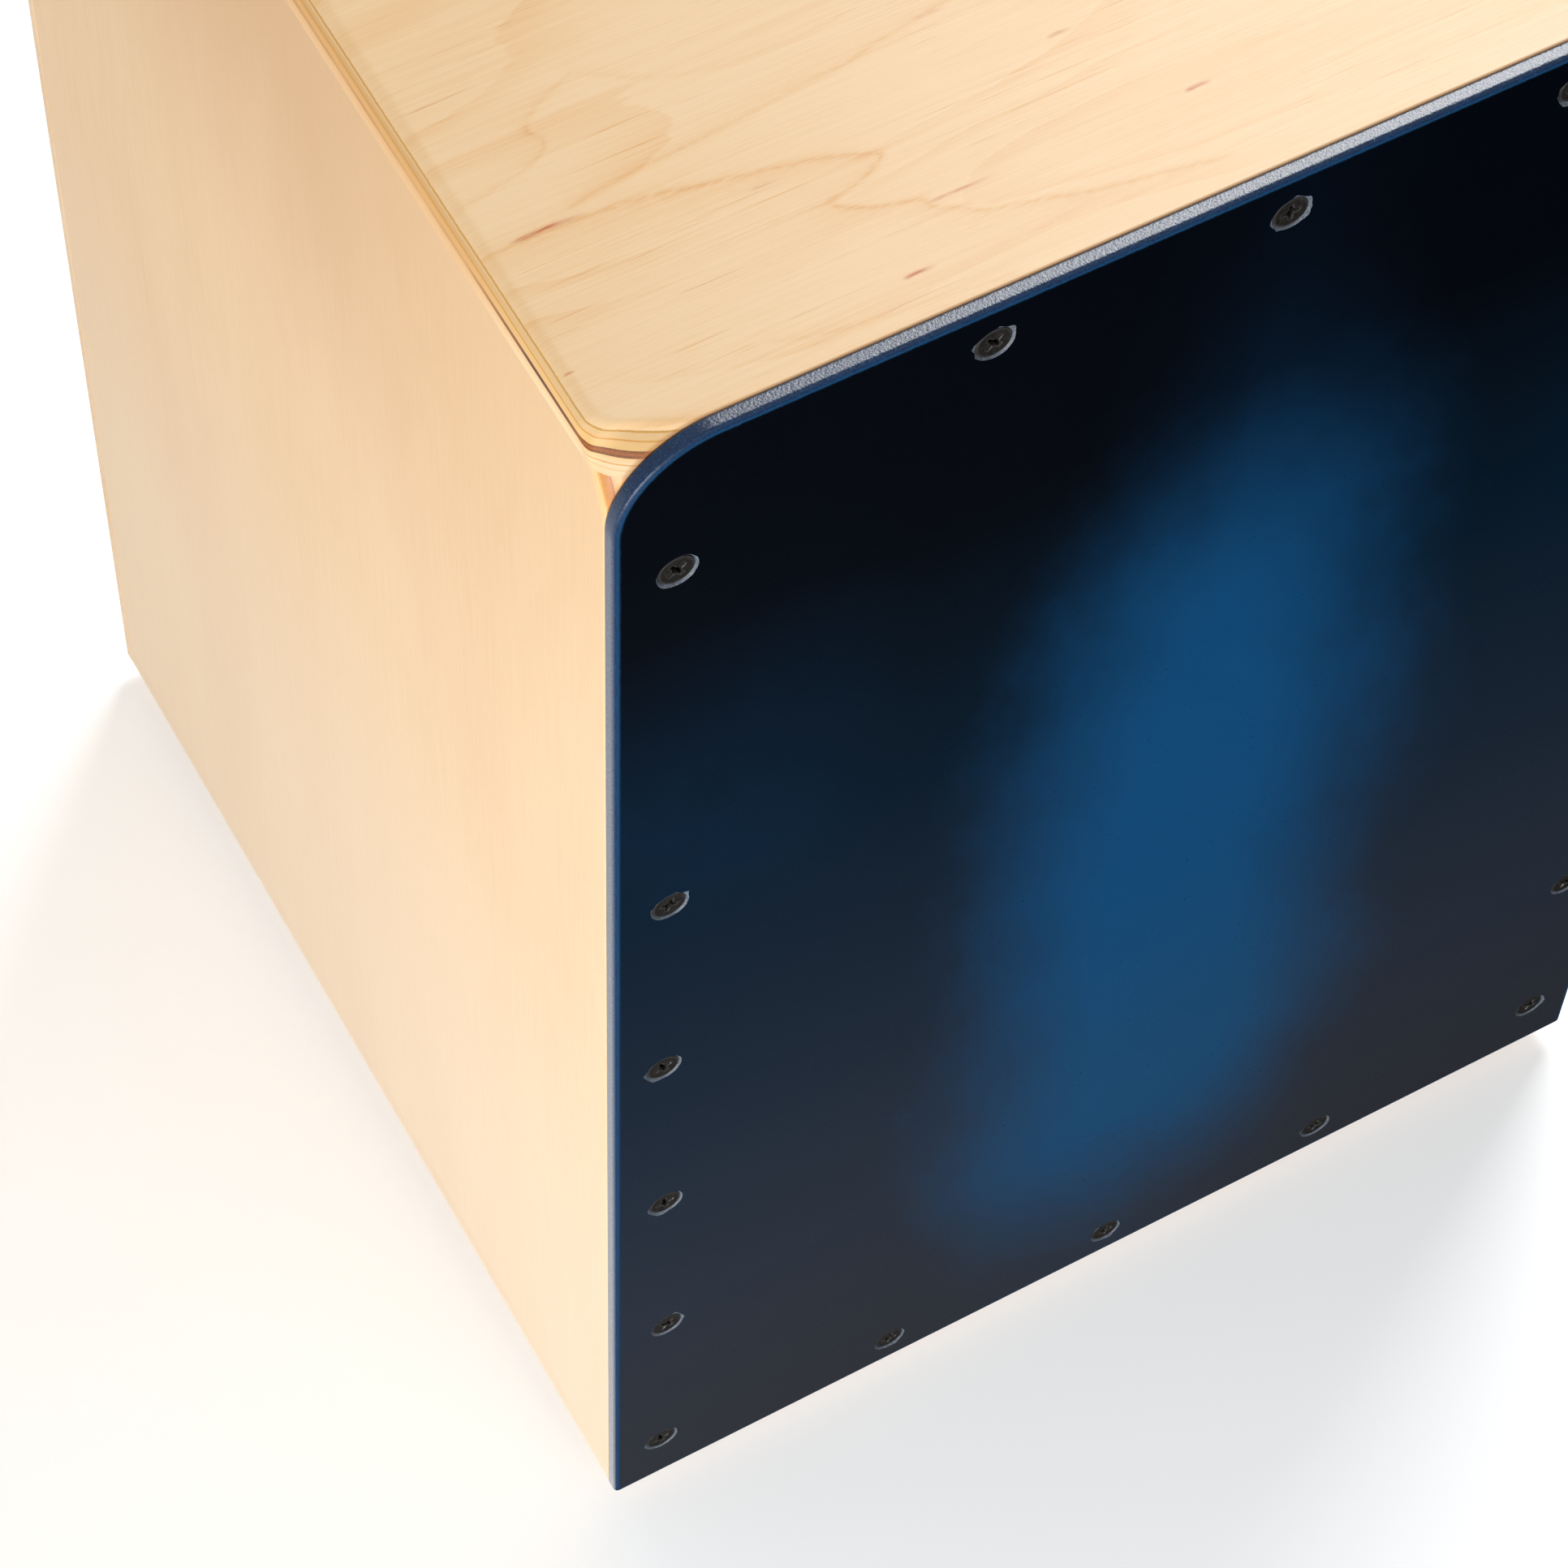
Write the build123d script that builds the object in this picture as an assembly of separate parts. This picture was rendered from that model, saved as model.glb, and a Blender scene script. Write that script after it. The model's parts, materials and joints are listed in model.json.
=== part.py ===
from build123d import *
import os
from math import sqrt

# Box drum (cajon). Millimetres, +Z up, the player's striking plate faces -Y.
# The origin is on the floor, under the centre of the box.

# ---------------------------------------------------------------- dimensions
WIDTH = 300.0             # box width, X
DEPTH = 300.0             # box depth over both screwed-on plates, Y
BODY_H = 465.0            # height of the wooden box, without feet
FOOT_H = 8.0              # rubber feet lift the box by this much

PLY_T = 9.0               # top, bottom and side panels: 7-ply birch plywood
FRONT_T = 3.8             # striking plate
BACK_T = 4.0              # back plate

PLATE_CORNER_R = 23.0     # rounded top corners of the front and back plates
PLATE_FOOT_R = 1.5        # bottom corners of the plates are almost square
PLATE_EDGE_R = 1.2        # rounded-over front edge of each plate
SHELL_EDGE_R = 4.5        # roundover along the seat's long edges
SHELL_FOOT_R = 2.0        # eased bottom edges

# the body's top corners are sanded from the seat's small roundover to the
# plate's large corner radius: (distance behind the plate, corner radius)
CORNER_SANDING = [(0.0, PLATE_CORNER_R), (2.1, 17.6), (4.9, 11.8), (7.2, 6.9), (10.9, SHELL_EDGE_R)]

BATTEN_W = 12.0           # glue battens behind both plates, section across the panel
BATTEN_D = 15.0           # and along Y

SCREW_R = 2.0             # 4.0 mm countersunk wood screws
SCREW_HEAD_R = 4.0
SCREW_L = 18.0
SCREW_SINK = 0.25         # heads sit this far under the plate's face
CORNER_PLAY = 0.15        # radial play round the two tuning screws
# (distance in from the side edge, height above the box's underside)
SIDE_SCREWS = [(13.6, 296.2), (12.7, 224.1), (13.8, 155.8), (14.8, 88.0), (13.8, 20.5)]
CORNER_SCREW = (14.0, 423.7)
ROW_X = [-67.2, 0.0, 67.2]
ROW_EDGE = 11.6           # rows of screws this far in from the top and bottom edges
BACK_SIDE_Z = [24.0, 128.0, 232.5, 337.0, 441.0]
BACK_ROW_X = [-68.0, 0.0, 68.0]
BACK_EDGE_X = 13.8

SOUND_HOLE_R = 60.0
SOUND_HOLE_Z = 170.0      # above the floor

FOOT_R = 15.0
FOOT_X = 120.0
FOOT_Y = 116.0

SNARE_X = 70.0            # centre of each snare set
SNARE_WIRES = 10
SNARE_PITCH = 3.9
SNARE_WIRE_R = 1.1        # outer radius of each coiled wire
SNARE_BAR_Z = 355.0       # underside of the snare bar
SNARE_BAR_H = 26.0
SNARE_BAR_D = 18.0

# ---------------------------------------------------------------- derived
Z0 = FOOT_H
Z1 = FOOT_H + BODY_H
X1 = WIDTH / 2
YF = -DEPTH / 2           # front face of the striking plate
YB = DEPTH / 2            # outer face of the back plate
YFI = YF + FRONT_T        # body's front plane
YBI = YB - BACK_T         # body's rear plane


def outline(y, r_top, r_foot):
    """Front view of the box at depth y, with its corner radii."""
    k = 1 - sqrt(0.5)

    def p(x, z):
        return Vector(x, y, z)

    def arc(a, m, b):
        return Edge.make_three_point_arc(a, m, b)

    rf, rt = r_foot, r_top
    edges = [
        Edge.make_line(p(-X1 + rf, Z0), p(X1 - rf, Z0)),
        arc(p(X1 - rf, Z0), p(X1 - rf * k, Z0 + rf * k), p(X1, Z0 + rf)),
        Edge.make_line(p(X1, Z0 + rf), p(X1, Z1 - rt)),
        arc(p(X1, Z1 - rt), p(X1 - rt * k, Z1 - rt * k), p(X1 - rt, Z1)),
        Edge.make_line(p(X1 - rt, Z1), p(-X1 + rt, Z1)),
        arc(p(-X1 + rt, Z1), p(-X1 + rt * k, Z1 - rt * k), p(-X1, Z1 - rt)),
        Edge.make_line(p(-X1, Z1 - rt), p(-X1, Z0 + rf)),
        arc(p(-X1, Z0 + rf), p(-X1 + rf * k, Z0 + rf * k), p(-X1 + rf, Z0)),
    ]
    return Wire(edges)


def box(x0, x1, y0, y1, z0, z1):
    return Pos((x0 + x1) / 2, (y0 + y1) / 2, (z0 + z1) / 2) * Box(x1 - x0, y1 - y0, z1 - z0)


def facing_front(x, y, z):
    """Place a piece drawn with its head at +Z so that the head faces -Y."""
    return Pos(x, y, z) * Rot(90, 0, 0)


def facing_back(x, y, z):
    return Pos(x, y, z) * Rot(-90, 0, 0)


def facing_down(x, y, z):
    return Pos(x, y, z) * Rot(180, 0, 0)


def turned(points):
    """Solid of revolution about Z from (radius, z) points."""
    face = Face(Wire.make_polygon([Vector(r, 0, z) for r, z in points], close=True))
    return revolve(face, Axis.Z, 360)


def countersunk_screw(length, r=SCREW_R, head_r=SCREW_HEAD_R, rim=0.35):
    cone = head_r - r
    s = turned([(0, 0), (head_r, 0), (head_r, -rim), (r, -rim - cone),
                (r, -length + 3.2), (0.35, -length), (0, -length)])
    w, l, d = 0.24 * head_r, 1.16 * head_r, 0.42 * head_r
    s = s - Pos(0, 0, -d / 2) * Box(l, w, d) - Pos(0, 0, -d / 2) * Box(w, l, d)
    return s - Pos(0, 0, -d / 2) * Cylinder(0.17 * head_r * 1.15, d)


def screw_hole(thickness, play=0.0, r=SCREW_R, head_r=SCREW_HEAD_R, rim=0.35, sink=SCREW_SINK):
    """Clearance hole and countersink, drawn from the plate's face down -Z."""
    mouth = head_r + sink + rim + play
    deep = mouth - (r + 0.15 + play)
    return turned([(0, 1), (mouth + 1, 1), (r + 0.15 + play, -deep), (r + 0.15 + play, -thickness - 1),
                   (0, -thickness - 1)])


def pilot(length, play=0.0, r=SCREW_R):
    """Hole in the wood behind a plate: thread length with a conical end."""
    rr = r + play
    return turned([(0, 0), (rr, 0), (rr, -length + 3.2), (0.35 + play, -length - play), (0, -length - play)])


parts = {}

# ---------------------------------------------------------------- body shell
# envelope of the sanded box between the two plates
front_sections = [outline(YFI + d, r, SHELL_FOOT_R) for d, r in CORNER_SANDING]
back_sections = [outline(YBI - d, r, SHELL_FOOT_R) for d, r in reversed(CORNER_SANDING)]
envelope = Solid.make_loft(front_sections + back_sections, ruled=True)

top_plate = box(-X1, X1, YFI, YBI, Z1 - PLY_T, Z1) & envelope
bottom_plate = box(-X1, X1, YFI, YBI, Z0, Z0 + PLY_T) & envelope
left_panel = box(-X1, -X1 + PLY_T, YFI, YBI, Z0 + PLY_T, Z1 - PLY_T) & envelope
right_panel = box(X1 - PLY_T, X1, YFI, YBI, Z0 + PLY_T, Z1 - PLY_T) & envelope

# ---------------------------------------------------------------- battens
xi = X1 - PLY_T
zl, zh = Z0 + PLY_T, Z1 - PLY_T
battens = {}
for end, y0, y1 in (("front", YFI, YFI + BATTEN_D), ("rear", YBI - BATTEN_D, YBI)):
    battens[end + "_left_batten"] = box(-xi, -xi + BATTEN_W, y0, y1, zl, zh)
    battens[end + "_right_batten"] = box(xi - BATTEN_W, xi, y0, y1, zl, zh)
    battens[end + "_top_batten"] = box(-xi + BATTEN_W, xi - BATTEN_W, y0, y1, zh - BATTEN_W, zh)
    battens[end + "_bottom_batten"] = box(-xi + BATTEN_W, xi - BATTEN_W, y0, y1, zl, zl + BATTEN_W)

# ---------------------------------------------------------------- plates
front_plate = extrude(Face(outline(YF, PLATE_CORNER_R, PLATE_FOOT_R)), FRONT_T, dir=(0, 1, 0))
front_plate = fillet(front_plate.faces().sort_by(Axis.Y)[0].edges(), PLATE_EDGE_R)
back_plate = extrude(Face(outline(YB, PLATE_CORNER_R, PLATE_FOOT_R)), BACK_T, dir=(0, -1, 0))
back_plate = fillet(back_plate.faces().sort_by(Axis.Y)[-1].edges(), PLATE_EDGE_R)
hole = facing_back(0, YB, SOUND_HOLE_Z) * turned(
    [(0, 1), (SOUND_HOLE_R + 2.5, 1), (SOUND_HOLE_R + 1.5, 0), (SOUND_HOLE_R, -1.5), (SOUND_HOLE_R, -BACK_T - 1),
     (0, -BACK_T - 1)])
back_plate = back_plate - hole

# ---------------------------------------------------------------- plate screws
fixed_front = []
for dx, z in SIDE_SCREWS:
    fixed_front += [(-X1 + dx, Z0 + z), (X1 - dx, Z0 + z)]
for x in ROW_X:
    fixed_front += [(x, Z1 - ROW_EDGE), (x, Z0 + ROW_EDGE)]
corner_front = [(-X1 + CORNER_SCREW[0], Z0 + CORNER_SCREW[1]), (X1 - CORNER_SCREW[0], Z0 + CORNER_SCREW[1])]
fixed_back = []
for z in BACK_SIDE_Z:
    fixed_back += [(-X1 + BACK_EDGE_X, Z0 + z), (X1 - BACK_EDGE_X, Z0 + z)]
for x in BACK_ROW_X:
    fixed_back += [(x, Z1 - ROW_EDGE), (x, Z0 + ROW_EDGE)]


def batten_for(end, x, z):
    if z > Z1 - PLY_T - BATTEN_W:
        if abs(x) < xi - BATTEN_W:
            return end + "_top_batten"
    if z < Z0 + PLY_T + BATTEN_W:
        if abs(x) < xi - BATTEN_W:
            return end + "_bottom_batten"
    return end + ("_left_batten" if x < 0 else "_right_batten")


screw = countersunk_screw(SCREW_L)
pilot_l = SCREW_L + SCREW_SINK

front_screws, back_screws = [], []
for x, z in fixed_front:
    front_plate = front_plate - facing_front(x, YF, z) * screw_hole(FRONT_T)
    key = batten_for("front", x, z)
    battens[key] = battens[key] - facing_front(x, YF, z) * pilot(pilot_l)
    front_screws.append(facing_front(x, YF + SCREW_SINK, z) * screw)
corner_screws = []
for x, z in corner_front:
    front_plate = front_plate - facing_front(x, YF, z) * screw_hole(FRONT_T, CORNER_PLAY)
    key = batten_for("front", x, z)
    battens[key] = battens[key] - facing_front(x, YF, z) * pilot(pilot_l, 0.06)
    corner_screws.append(facing_front(x, YF + SCREW_SINK, z) * screw)
for x, z in fixed_back:
    back_plate = back_plate - facing_back(x, YB, z) * screw_hole(BACK_T)
    key = batten_for("rear", x, z)
    battens[key] = battens[key] - facing_back(x, YB, z) * pilot(pilot_l)
    back_screws.append(facing_back(x, YB - SCREW_SINK, z) * screw)

# ---------------------------------------------------------------- snare unit
# a bar behind the front battens carries two sets of coiled wires whose free
# upper ends lie against the back of the striking plate, near its top corners
bar_y0 = YFI + BATTEN_D
bar_y1 = bar_y0 + SNARE_BAR_D
bar_z1 = SNARE_BAR_Z + SNARE_BAR_H
snare_bar = box(-xi + 0.5, xi - 0.5, bar_y0, bar_y1, SNARE_BAR_Z, bar_z1)
bar_screw = countersunk_screw(28.0)
bar_screws = []
for sx in (-1, 1):
    for dz in (7.0, 19.0):
        bx, bz = sx * (xi - 5.5), SNARE_BAR_Z + dz
        snare_bar = snare_bar - facing_back(bx, bar_y1, bz) * screw_hole(SNARE_BAR_D, sink=0.2)
        key = "front_left_batten" if sx < 0 else "front_right_batten"
        battens[key] = battens[key] - facing_back(bx, bar_y1, bz) * pilot(28.2)
        bar_screws.append(facing_back(bx, bar_y1 - 0.2, bz) * bar_screw)

BLOCK_W = 62.0
BLOCK_FRONT = YFI + 5.8           # front face of the blocks under the wires' lower plates
CLIP_T = 0.8
clip_y = BLOCK_FRONT - CLIP_T
wire_y0 = clip_y - SNARE_WIRE_R   # wire centre at the lower plate
wire_y1 = YFI + SNARE_WIRE_R + 0.15
wire_z0 = SNARE_BAR_Z + 3.0
wire_z1 = Z1 - PLY_T - BATTEN_W - 4.0
tip_z = wire_z1 - 7.0

small_screw = countersunk_screw(9.0, r=1.4, head_r=2.6, rim=0.2)
snare_screws = []
snare = {}
for name, sx in (("left", -1), ("right", 1)):
    cx = sx * SNARE_X
    block = box(cx - BLOCK_W / 2, cx + BLOCK_W / 2, BLOCK_FRONT, bar_y0, SNARE_BAR_Z, bar_z1)
    clip = box(cx - BLOCK_W / 2 + 2, cx + BLOCK_W / 2 - 2, clip_y, BLOCK_FRONT, SNARE_BAR_Z + 2, SNARE_BAR_Z + 16)
    for ex in (-1, 1):
        px = cx + ex * (BLOCK_W / 2 - 6)
        at = facing_front(px, clip_y, SNARE_BAR_Z + 9)
        clip = clip - at * turned([(0, 1), (2.65, 1), (2.65, -0.2), (2.05, -0.8), (2.05, -2), (0, -2)])
        block = block - at * turned([(0, -0.5), (2.35, -0.5), (1.4, -1.45), (1.4, -9.0 + 3.2),
                                     (0.35, -9.0), (0, -9.0)])
        snare_screws.append(at * small_screw)
    wires = []
    for i in range(SNARE_WIRES):
        wx = cx + (i - (SNARE_WIRES - 1) / 2) * SNARE_PITCH
        path = Vector(wx, wire_y1, wire_z1) - Vector(wx, wire_y0, wire_z0)
        pl = Plane(origin=(wx, wire_y0, wire_z0), z_dir=path)
        wires.append(pl * Cylinder(SNARE_WIRE_R, path.length, align=(Align.CENTER, Align.CENTER, Align.MIN)))
    half = (SNARE_WIRES - 1) / 2 * SNARE_PITCH + 2.4
    # strip soldered across the free ends, behind the wires
    back_at = wire_y1 + (wire_y0 - wire_y1) * 7.0 / (wire_z1 - wire_z0) + SNARE_WIRE_R + 0.02
    tip = box(cx - half, cx + half, back_at, back_at + 0.6, tip_z, tip_z + 6.0)
    snare[name] = (block, clip, wires, tip)

# ---------------------------------------------------------------- feet
feet = {}
foot_screws = []
foot = turned([(0, 0), (FOOT_R - 2.0, 0), (FOOT_R - 0.6, 0.6), (FOOT_R, 2.2), (FOOT_R - 1.4, FOOT_H), (0, FOOT_H)])
foot = foot - turned([(0, -1), (5.2, -1), (5.2, 3.6), (2.05, 3.6), (2.05, FOOT_H + 1), (0, FOOT_H + 1)])
pan_screw = turned([(0, 0), (3.4, 0), (3.8, -0.7), (3.8, -2.0), (2.0, -2.0), (2.0, -10.5), (0.35, -13.2), (0, -13.2)])
pan_screw = pan_screw - Pos(0, 0, -0.8) * Box(4.4, 0.95, 1.6) - Pos(0, 0, -0.8) * Box(0.95, 4.4, 1.6)
for fb, sy in (("front", -1), ("rear", 1)):
    for lr, sx in (("left", -1), ("right", 1)):
        x, y = sx * FOOT_X, sy * FOOT_Y
        feet[f"{fb}_{lr}_foot"] = Pos(x, y, 0) * foot
        foot_screws.append(facing_down(x, y, 1.6) * pan_screw)
        bottom_plate = bottom_plate - facing_down(x, y, FOOT_H) * turned(
            [(0, 1), (2.0, 1), (2.0, -4.1), (0.35, -6.8), (0, -6.8)])

# ---------------------------------------------------------------- output
parts["top_plate"] = [top_plate]
parts["bottom_plate"] = [bottom_plate]
parts["left_side_panel"] = [left_panel]
parts["right_side_panel"] = [right_panel]
parts["front_plate"] = [front_plate]
parts["back_plate"] = [back_plate]
for k, v in battens.items():
    parts[k] = [v]
parts["front_plate_screws"] = front_screws
parts["left_corner_screw"] = [corner_screws[0]]
parts["right_corner_screw"] = [corner_screws[1]]
parts["back_plate_screws"] = back_screws
parts["snare_bar"] = [snare_bar]
parts["snare_bar_screws"] = bar_screws
for name in ("left", "right"):
    block, clip, wires, tip = snare[name]
    parts[f"{name}_snare_block"] = [block]
    parts[f"{name}_snare_clip_plate"] = [clip]
    parts[f"{name}_snare_wires"] = wires
    parts[f"{name}_snare_end_strip"] = [tip]
parts["snare_clip_screws"] = snare_screws
for k, v in feet.items():
    parts[k] = [v]
parts["foot_screws"] = foot_screws

os.makedirs("parts", exist_ok=True)
for name, items in parts.items():
    solids = []
    for it in items:
        solids += list(it.solids()) if not isinstance(it, Solid) else [it]
    shape = solids[0] if len(solids) == 1 else Compound(children=solids)
    shape.label = name
    export_step(shape, f"parts/{name}.step")
print(len(parts), "nodes")
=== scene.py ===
import json
import math
import random

import bmesh
import bpy
import numpy as np
from mathutils import Matrix, Vector
from mathutils.geometry import delaunay_2d_cdt

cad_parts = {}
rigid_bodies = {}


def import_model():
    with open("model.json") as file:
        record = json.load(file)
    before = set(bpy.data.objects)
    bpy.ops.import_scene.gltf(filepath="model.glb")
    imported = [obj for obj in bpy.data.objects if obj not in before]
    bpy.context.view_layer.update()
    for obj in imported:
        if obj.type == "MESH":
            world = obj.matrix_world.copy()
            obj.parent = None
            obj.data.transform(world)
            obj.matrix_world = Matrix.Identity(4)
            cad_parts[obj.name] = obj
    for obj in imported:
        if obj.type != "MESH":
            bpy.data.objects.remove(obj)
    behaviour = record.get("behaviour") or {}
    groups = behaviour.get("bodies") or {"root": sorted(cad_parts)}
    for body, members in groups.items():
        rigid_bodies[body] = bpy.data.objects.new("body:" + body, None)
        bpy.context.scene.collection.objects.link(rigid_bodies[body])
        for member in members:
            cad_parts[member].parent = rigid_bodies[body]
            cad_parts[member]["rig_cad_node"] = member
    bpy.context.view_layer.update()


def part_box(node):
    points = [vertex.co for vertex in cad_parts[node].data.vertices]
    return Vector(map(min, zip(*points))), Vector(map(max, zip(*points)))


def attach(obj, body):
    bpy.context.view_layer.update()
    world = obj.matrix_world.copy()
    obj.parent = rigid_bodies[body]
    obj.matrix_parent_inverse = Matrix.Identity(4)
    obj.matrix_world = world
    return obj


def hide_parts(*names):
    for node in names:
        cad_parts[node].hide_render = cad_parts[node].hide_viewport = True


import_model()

# Box drum (cajon). Sizes below are millimetres in the CAD's frame; meshes are written in metres.
WIDTH, DEPTH, BODY_H, FOOT_H = 300.0, 300.0, 465.0, 8.0
PLY_T, FRONT_T, BACK_T = 9.0, 3.8, 4.0
PLATE_CORNER_R, PLATE_FOOT_R, PLATE_EDGE_R = 23.0, 1.5, 1.2
SHELL_EDGE_R, SHELL_FOOT_R = 4.5, 2.0
CORNER_SANDING = [(0.0, PLATE_CORNER_R), (2.1, 17.6), (4.9, 11.8), (7.2, 6.9), (10.9, SHELL_EDGE_R)]
SCREW_R, SCREW_HEAD_R, SCREW_L, SCREW_SINK = 2.0, 4.0, 18.0, 0.25
SIDE_SCREWS = [(13.6, 296.2), (12.7, 224.1), (13.8, 155.8), (14.8, 88.0), (13.8, 20.5)]
CORNER_SCREW = (14.0, 423.7)
ROW_X, ROW_EDGE = [-67.2, 0.0, 67.2], 11.6
BACK_SIDE_Z, BACK_ROW_X, BACK_EDGE_X = [24.0, 128.0, 232.5, 337.0, 441.0], [-68.0, 0.0, 68.0], 13.8
SOUND_HOLE_R, SOUND_HOLE_Z = 60.0, 170.0
FOOT_R, FOOT_X, FOOT_Y = 15.0, 120.0, 116.0

Z0, Z1, X1 = FOOT_H, FOOT_H + BODY_H, WIDTH / 2
YF, YB = -DEPTH / 2, DEPTH / 2
YFI, YBI = YF + FRONT_T, YB - BACK_T
BOX = "box"
scene = bpy.context.scene


# ------------------------------------------------------------------ camera
def make_camera():
    data = bpy.data.cameras.new("camera")
    data.sensor_width, data.lens = 36.0, 115.06
    data.clip_start, data.clip_end = 0.02, 60.0
    cam = bpy.data.objects.new("camera", data)
    scene.collection.objects.link(cam)
    right = Vector((0.872536, -0.487750, 0.027934))
    up = Vector((0.402447, 0.750000, 0.524915))
    back = Vector((-0.276978, -0.446766, 0.850696))
    m = Matrix.Identity(4)
    for i in range(3):
        m[i][0], m[i][1], m[i][2] = right[i], up[i], back[i]
    m[0][3], m[1][3], m[2][3] = -0.40176, -0.62165, 1.23139
    cam.matrix_world = m
    scene.camera = cam


make_camera()


# ------------------------------------------------------------------ node trees written as sums
class V:
    """A number flowing through a material's node tree."""

    def __init__(self, g, sock):
        self.g, self.sock = g, sock

    def __add__(self, o): return self.g.math("ADD", self, o)
    def __radd__(self, o): return self.g.math("ADD", o, self)
    def __sub__(self, o): return self.g.math("SUBTRACT", self, o)
    def __rsub__(self, o): return self.g.math("SUBTRACT", o, self)
    def __mul__(self, o): return self.g.math("MULTIPLY", self, o)
    def __rmul__(self, o): return self.g.math("MULTIPLY", o, self)
    def __truediv__(self, o): return self.g.math("DIVIDE", self, o)
    def __neg__(self): return self.g.math("MULTIPLY", self, -1.0)


class Tree:
    def __init__(self, name, **fixed):
        self.mat = bpy.data.materials.new(name)
        self.mat.use_nodes = True
        self.t = self.mat.node_tree
        self.t.nodes.clear()
        out = self.node("ShaderNodeOutputMaterial")
        self.bsdf = self.node("ShaderNodeBsdfPrincipled")
        self.t.links.new(self.bsdf.outputs[0], out.inputs[0])
        for k, v in fixed.items():
            self.bsdf.inputs[k.replace("_", " ")].default_value = v
        co = self.node("ShaderNodeTexCoord")
        mm = self.node("ShaderNodeVectorMath", operation="SCALE")
        self.t.links.new(co.outputs["Object"], mm.inputs[0])
        mm.inputs["Scale"].default_value = 1000.0
        sep = self.node("ShaderNodeSeparateXYZ")
        self.t.links.new(mm.outputs[0], sep.inputs[0])
        self.x, self.y, self.z = (V(self, sep.outputs[i]) for i in range(3))

    def node(self, kind, **props):
        n = self.t.nodes.new(kind)
        for k, v in props.items():
            setattr(n, k, v)
        return n

    def put(self, sock, v):
        if isinstance(v, V):
            self.t.links.new(v.sock, sock)
        elif isinstance(v, (tuple, list)):
            sock.default_value = (*v, 1.0) if len(v) == 3 and len(sock.default_value) == 4 else tuple(v)
        else:
            sock.default_value = v

    def math(self, op, a, b=None, c=None, clamp=False):
        n = self.node("ShaderNodeMath", operation=op, use_clamp=clamp)
        for i, v in enumerate((a, b, c)):
            if v is not None:
                self.put(n.inputs[i], v)
        return V(self, n.outputs[0])

    def vec(self, a, b, c):
        n = self.node("ShaderNodeCombineXYZ")
        for i, v in enumerate((a, b, c)):
            self.put(n.inputs[i], v)
        return V(self, n.outputs[0])

    def noise(self, at, detail=2.0, rough=0.5, scale=1.0, distort=0.0):
        n = self.node("ShaderNodeTexNoise", noise_dimensions="3D")
        self.put(n.inputs["Vector"], self.vec(*at))
        n.inputs["Scale"].default_value = scale
        n.inputs["Detail"].default_value = detail
        n.inputs["Roughness"].default_value = rough
        n.inputs["Distortion"].default_value = distort
        return V(self, n.outputs[0])

    def cells(self, at, scale=1.0, feature="F1", smooth=None, rand=1.0):
        n = self.node("ShaderNodeTexVoronoi", feature=feature)
        self.put(n.inputs["Vector"], self.vec(*at))
        n.inputs["Scale"].default_value = scale
        n.inputs["Randomness"].default_value = rand
        if smooth is not None:
            n.inputs["Smoothness"].default_value = smooth
        return V(self, n.outputs["Distance"])

    def step(self, v, lo, hi, a=0.0, b=1.0):
        n = self.node("ShaderNodeMapRange", interpolation_type="SMOOTHSTEP", clamp=True)
        for i, w in enumerate((v, lo, hi, a, b)):
            self.put(n.inputs[i], w)
        return V(self, n.outputs[0])

    def line(self, v, lo, hi, a=0.0, b=1.0):
        n = self.node("ShaderNodeMapRange", interpolation_type="LINEAR", clamp=True)
        for i, w in enumerate((v, lo, hi, a, b)):
            self.put(n.inputs[i], w)
        return V(self, n.outputs[0])

    def bell(self, v, width):
        q = v / width
        return self.math("EXPONENT", -(q * q))

    def clamp(self, v):
        return self.math("ADD", v, 0.0, clamp=True)

    def absolute(self, v):
        return self.math("ABSOLUTE", v)

    def attribute(self, name):
        n = self.node("ShaderNodeAttribute", attribute_name=name)
        return V(self, n.outputs["Fac"])

    def curve(self, v, pts, lo, hi, out_lo, out_hi):
        """A curve drawn through the given (in, out) points, both in millimetres."""
        n = self.node("ShaderNodeFloatCurve")
        c = n.mapping.curves[0]
        q = sorted(((a - lo) / (hi - lo), (b - out_lo) / (out_hi - out_lo)) for a, b in pts)
        c.points[0].location, c.points[-1].location = q[0], q[-1]
        for a, b in q[1:-1]:
            c.points.new(a, b)
        n.mapping.use_clip = False
        n.mapping.extend = "HORIZONTAL"
        n.mapping.update()
        self.put(n.inputs["Value"], (v - lo) / (hi - lo))
        return V(self, n.outputs[0]) * (out_hi - out_lo) + out_lo

    def ramp(self, v, stops, mode="LINEAR"):
        n = self.node("ShaderNodeValToRGB")
        r = n.color_ramp
        r.interpolation = mode
        while len(r.elements) < len(stops):
            r.elements.new(0.5)
        for e, (p, c) in zip(r.elements, stops):
            e.position = p
        for e, (p, c) in zip(r.elements, stops):
            e.color = (*c, 1.0)
        self.put(n.inputs[0], v)
        return V(self, n.outputs[0])

    def mix(self, f, a, b, mode="MIX"):
        n = self.node("ShaderNodeMix", data_type="RGBA", blend_type=mode)
        self.put(n.inputs[0], f)
        self.put(n.inputs[6], a)
        self.put(n.inputs[7], b)
        return V(self, n.outputs[2])

    def scale(self, colour, f):
        n = self.node("ShaderNodeVectorMath", operation="SCALE")
        self.put(n.inputs[0], colour)
        self.put(n.inputs["Scale"], f)
        return V(self, n.outputs[0])

    def bump(self, height, distance_mm, strength=1.0, normal=None):
        n = self.node("ShaderNodeBump")
        n.inputs["Strength"].default_value = strength
        n.inputs["Distance"].default_value = distance_mm * 0.001
        self.put(n.inputs["Height"], height)
        if normal is not None:
            self.put(n.inputs["Normal"], normal)
        return V(self, n.outputs[0])

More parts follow.
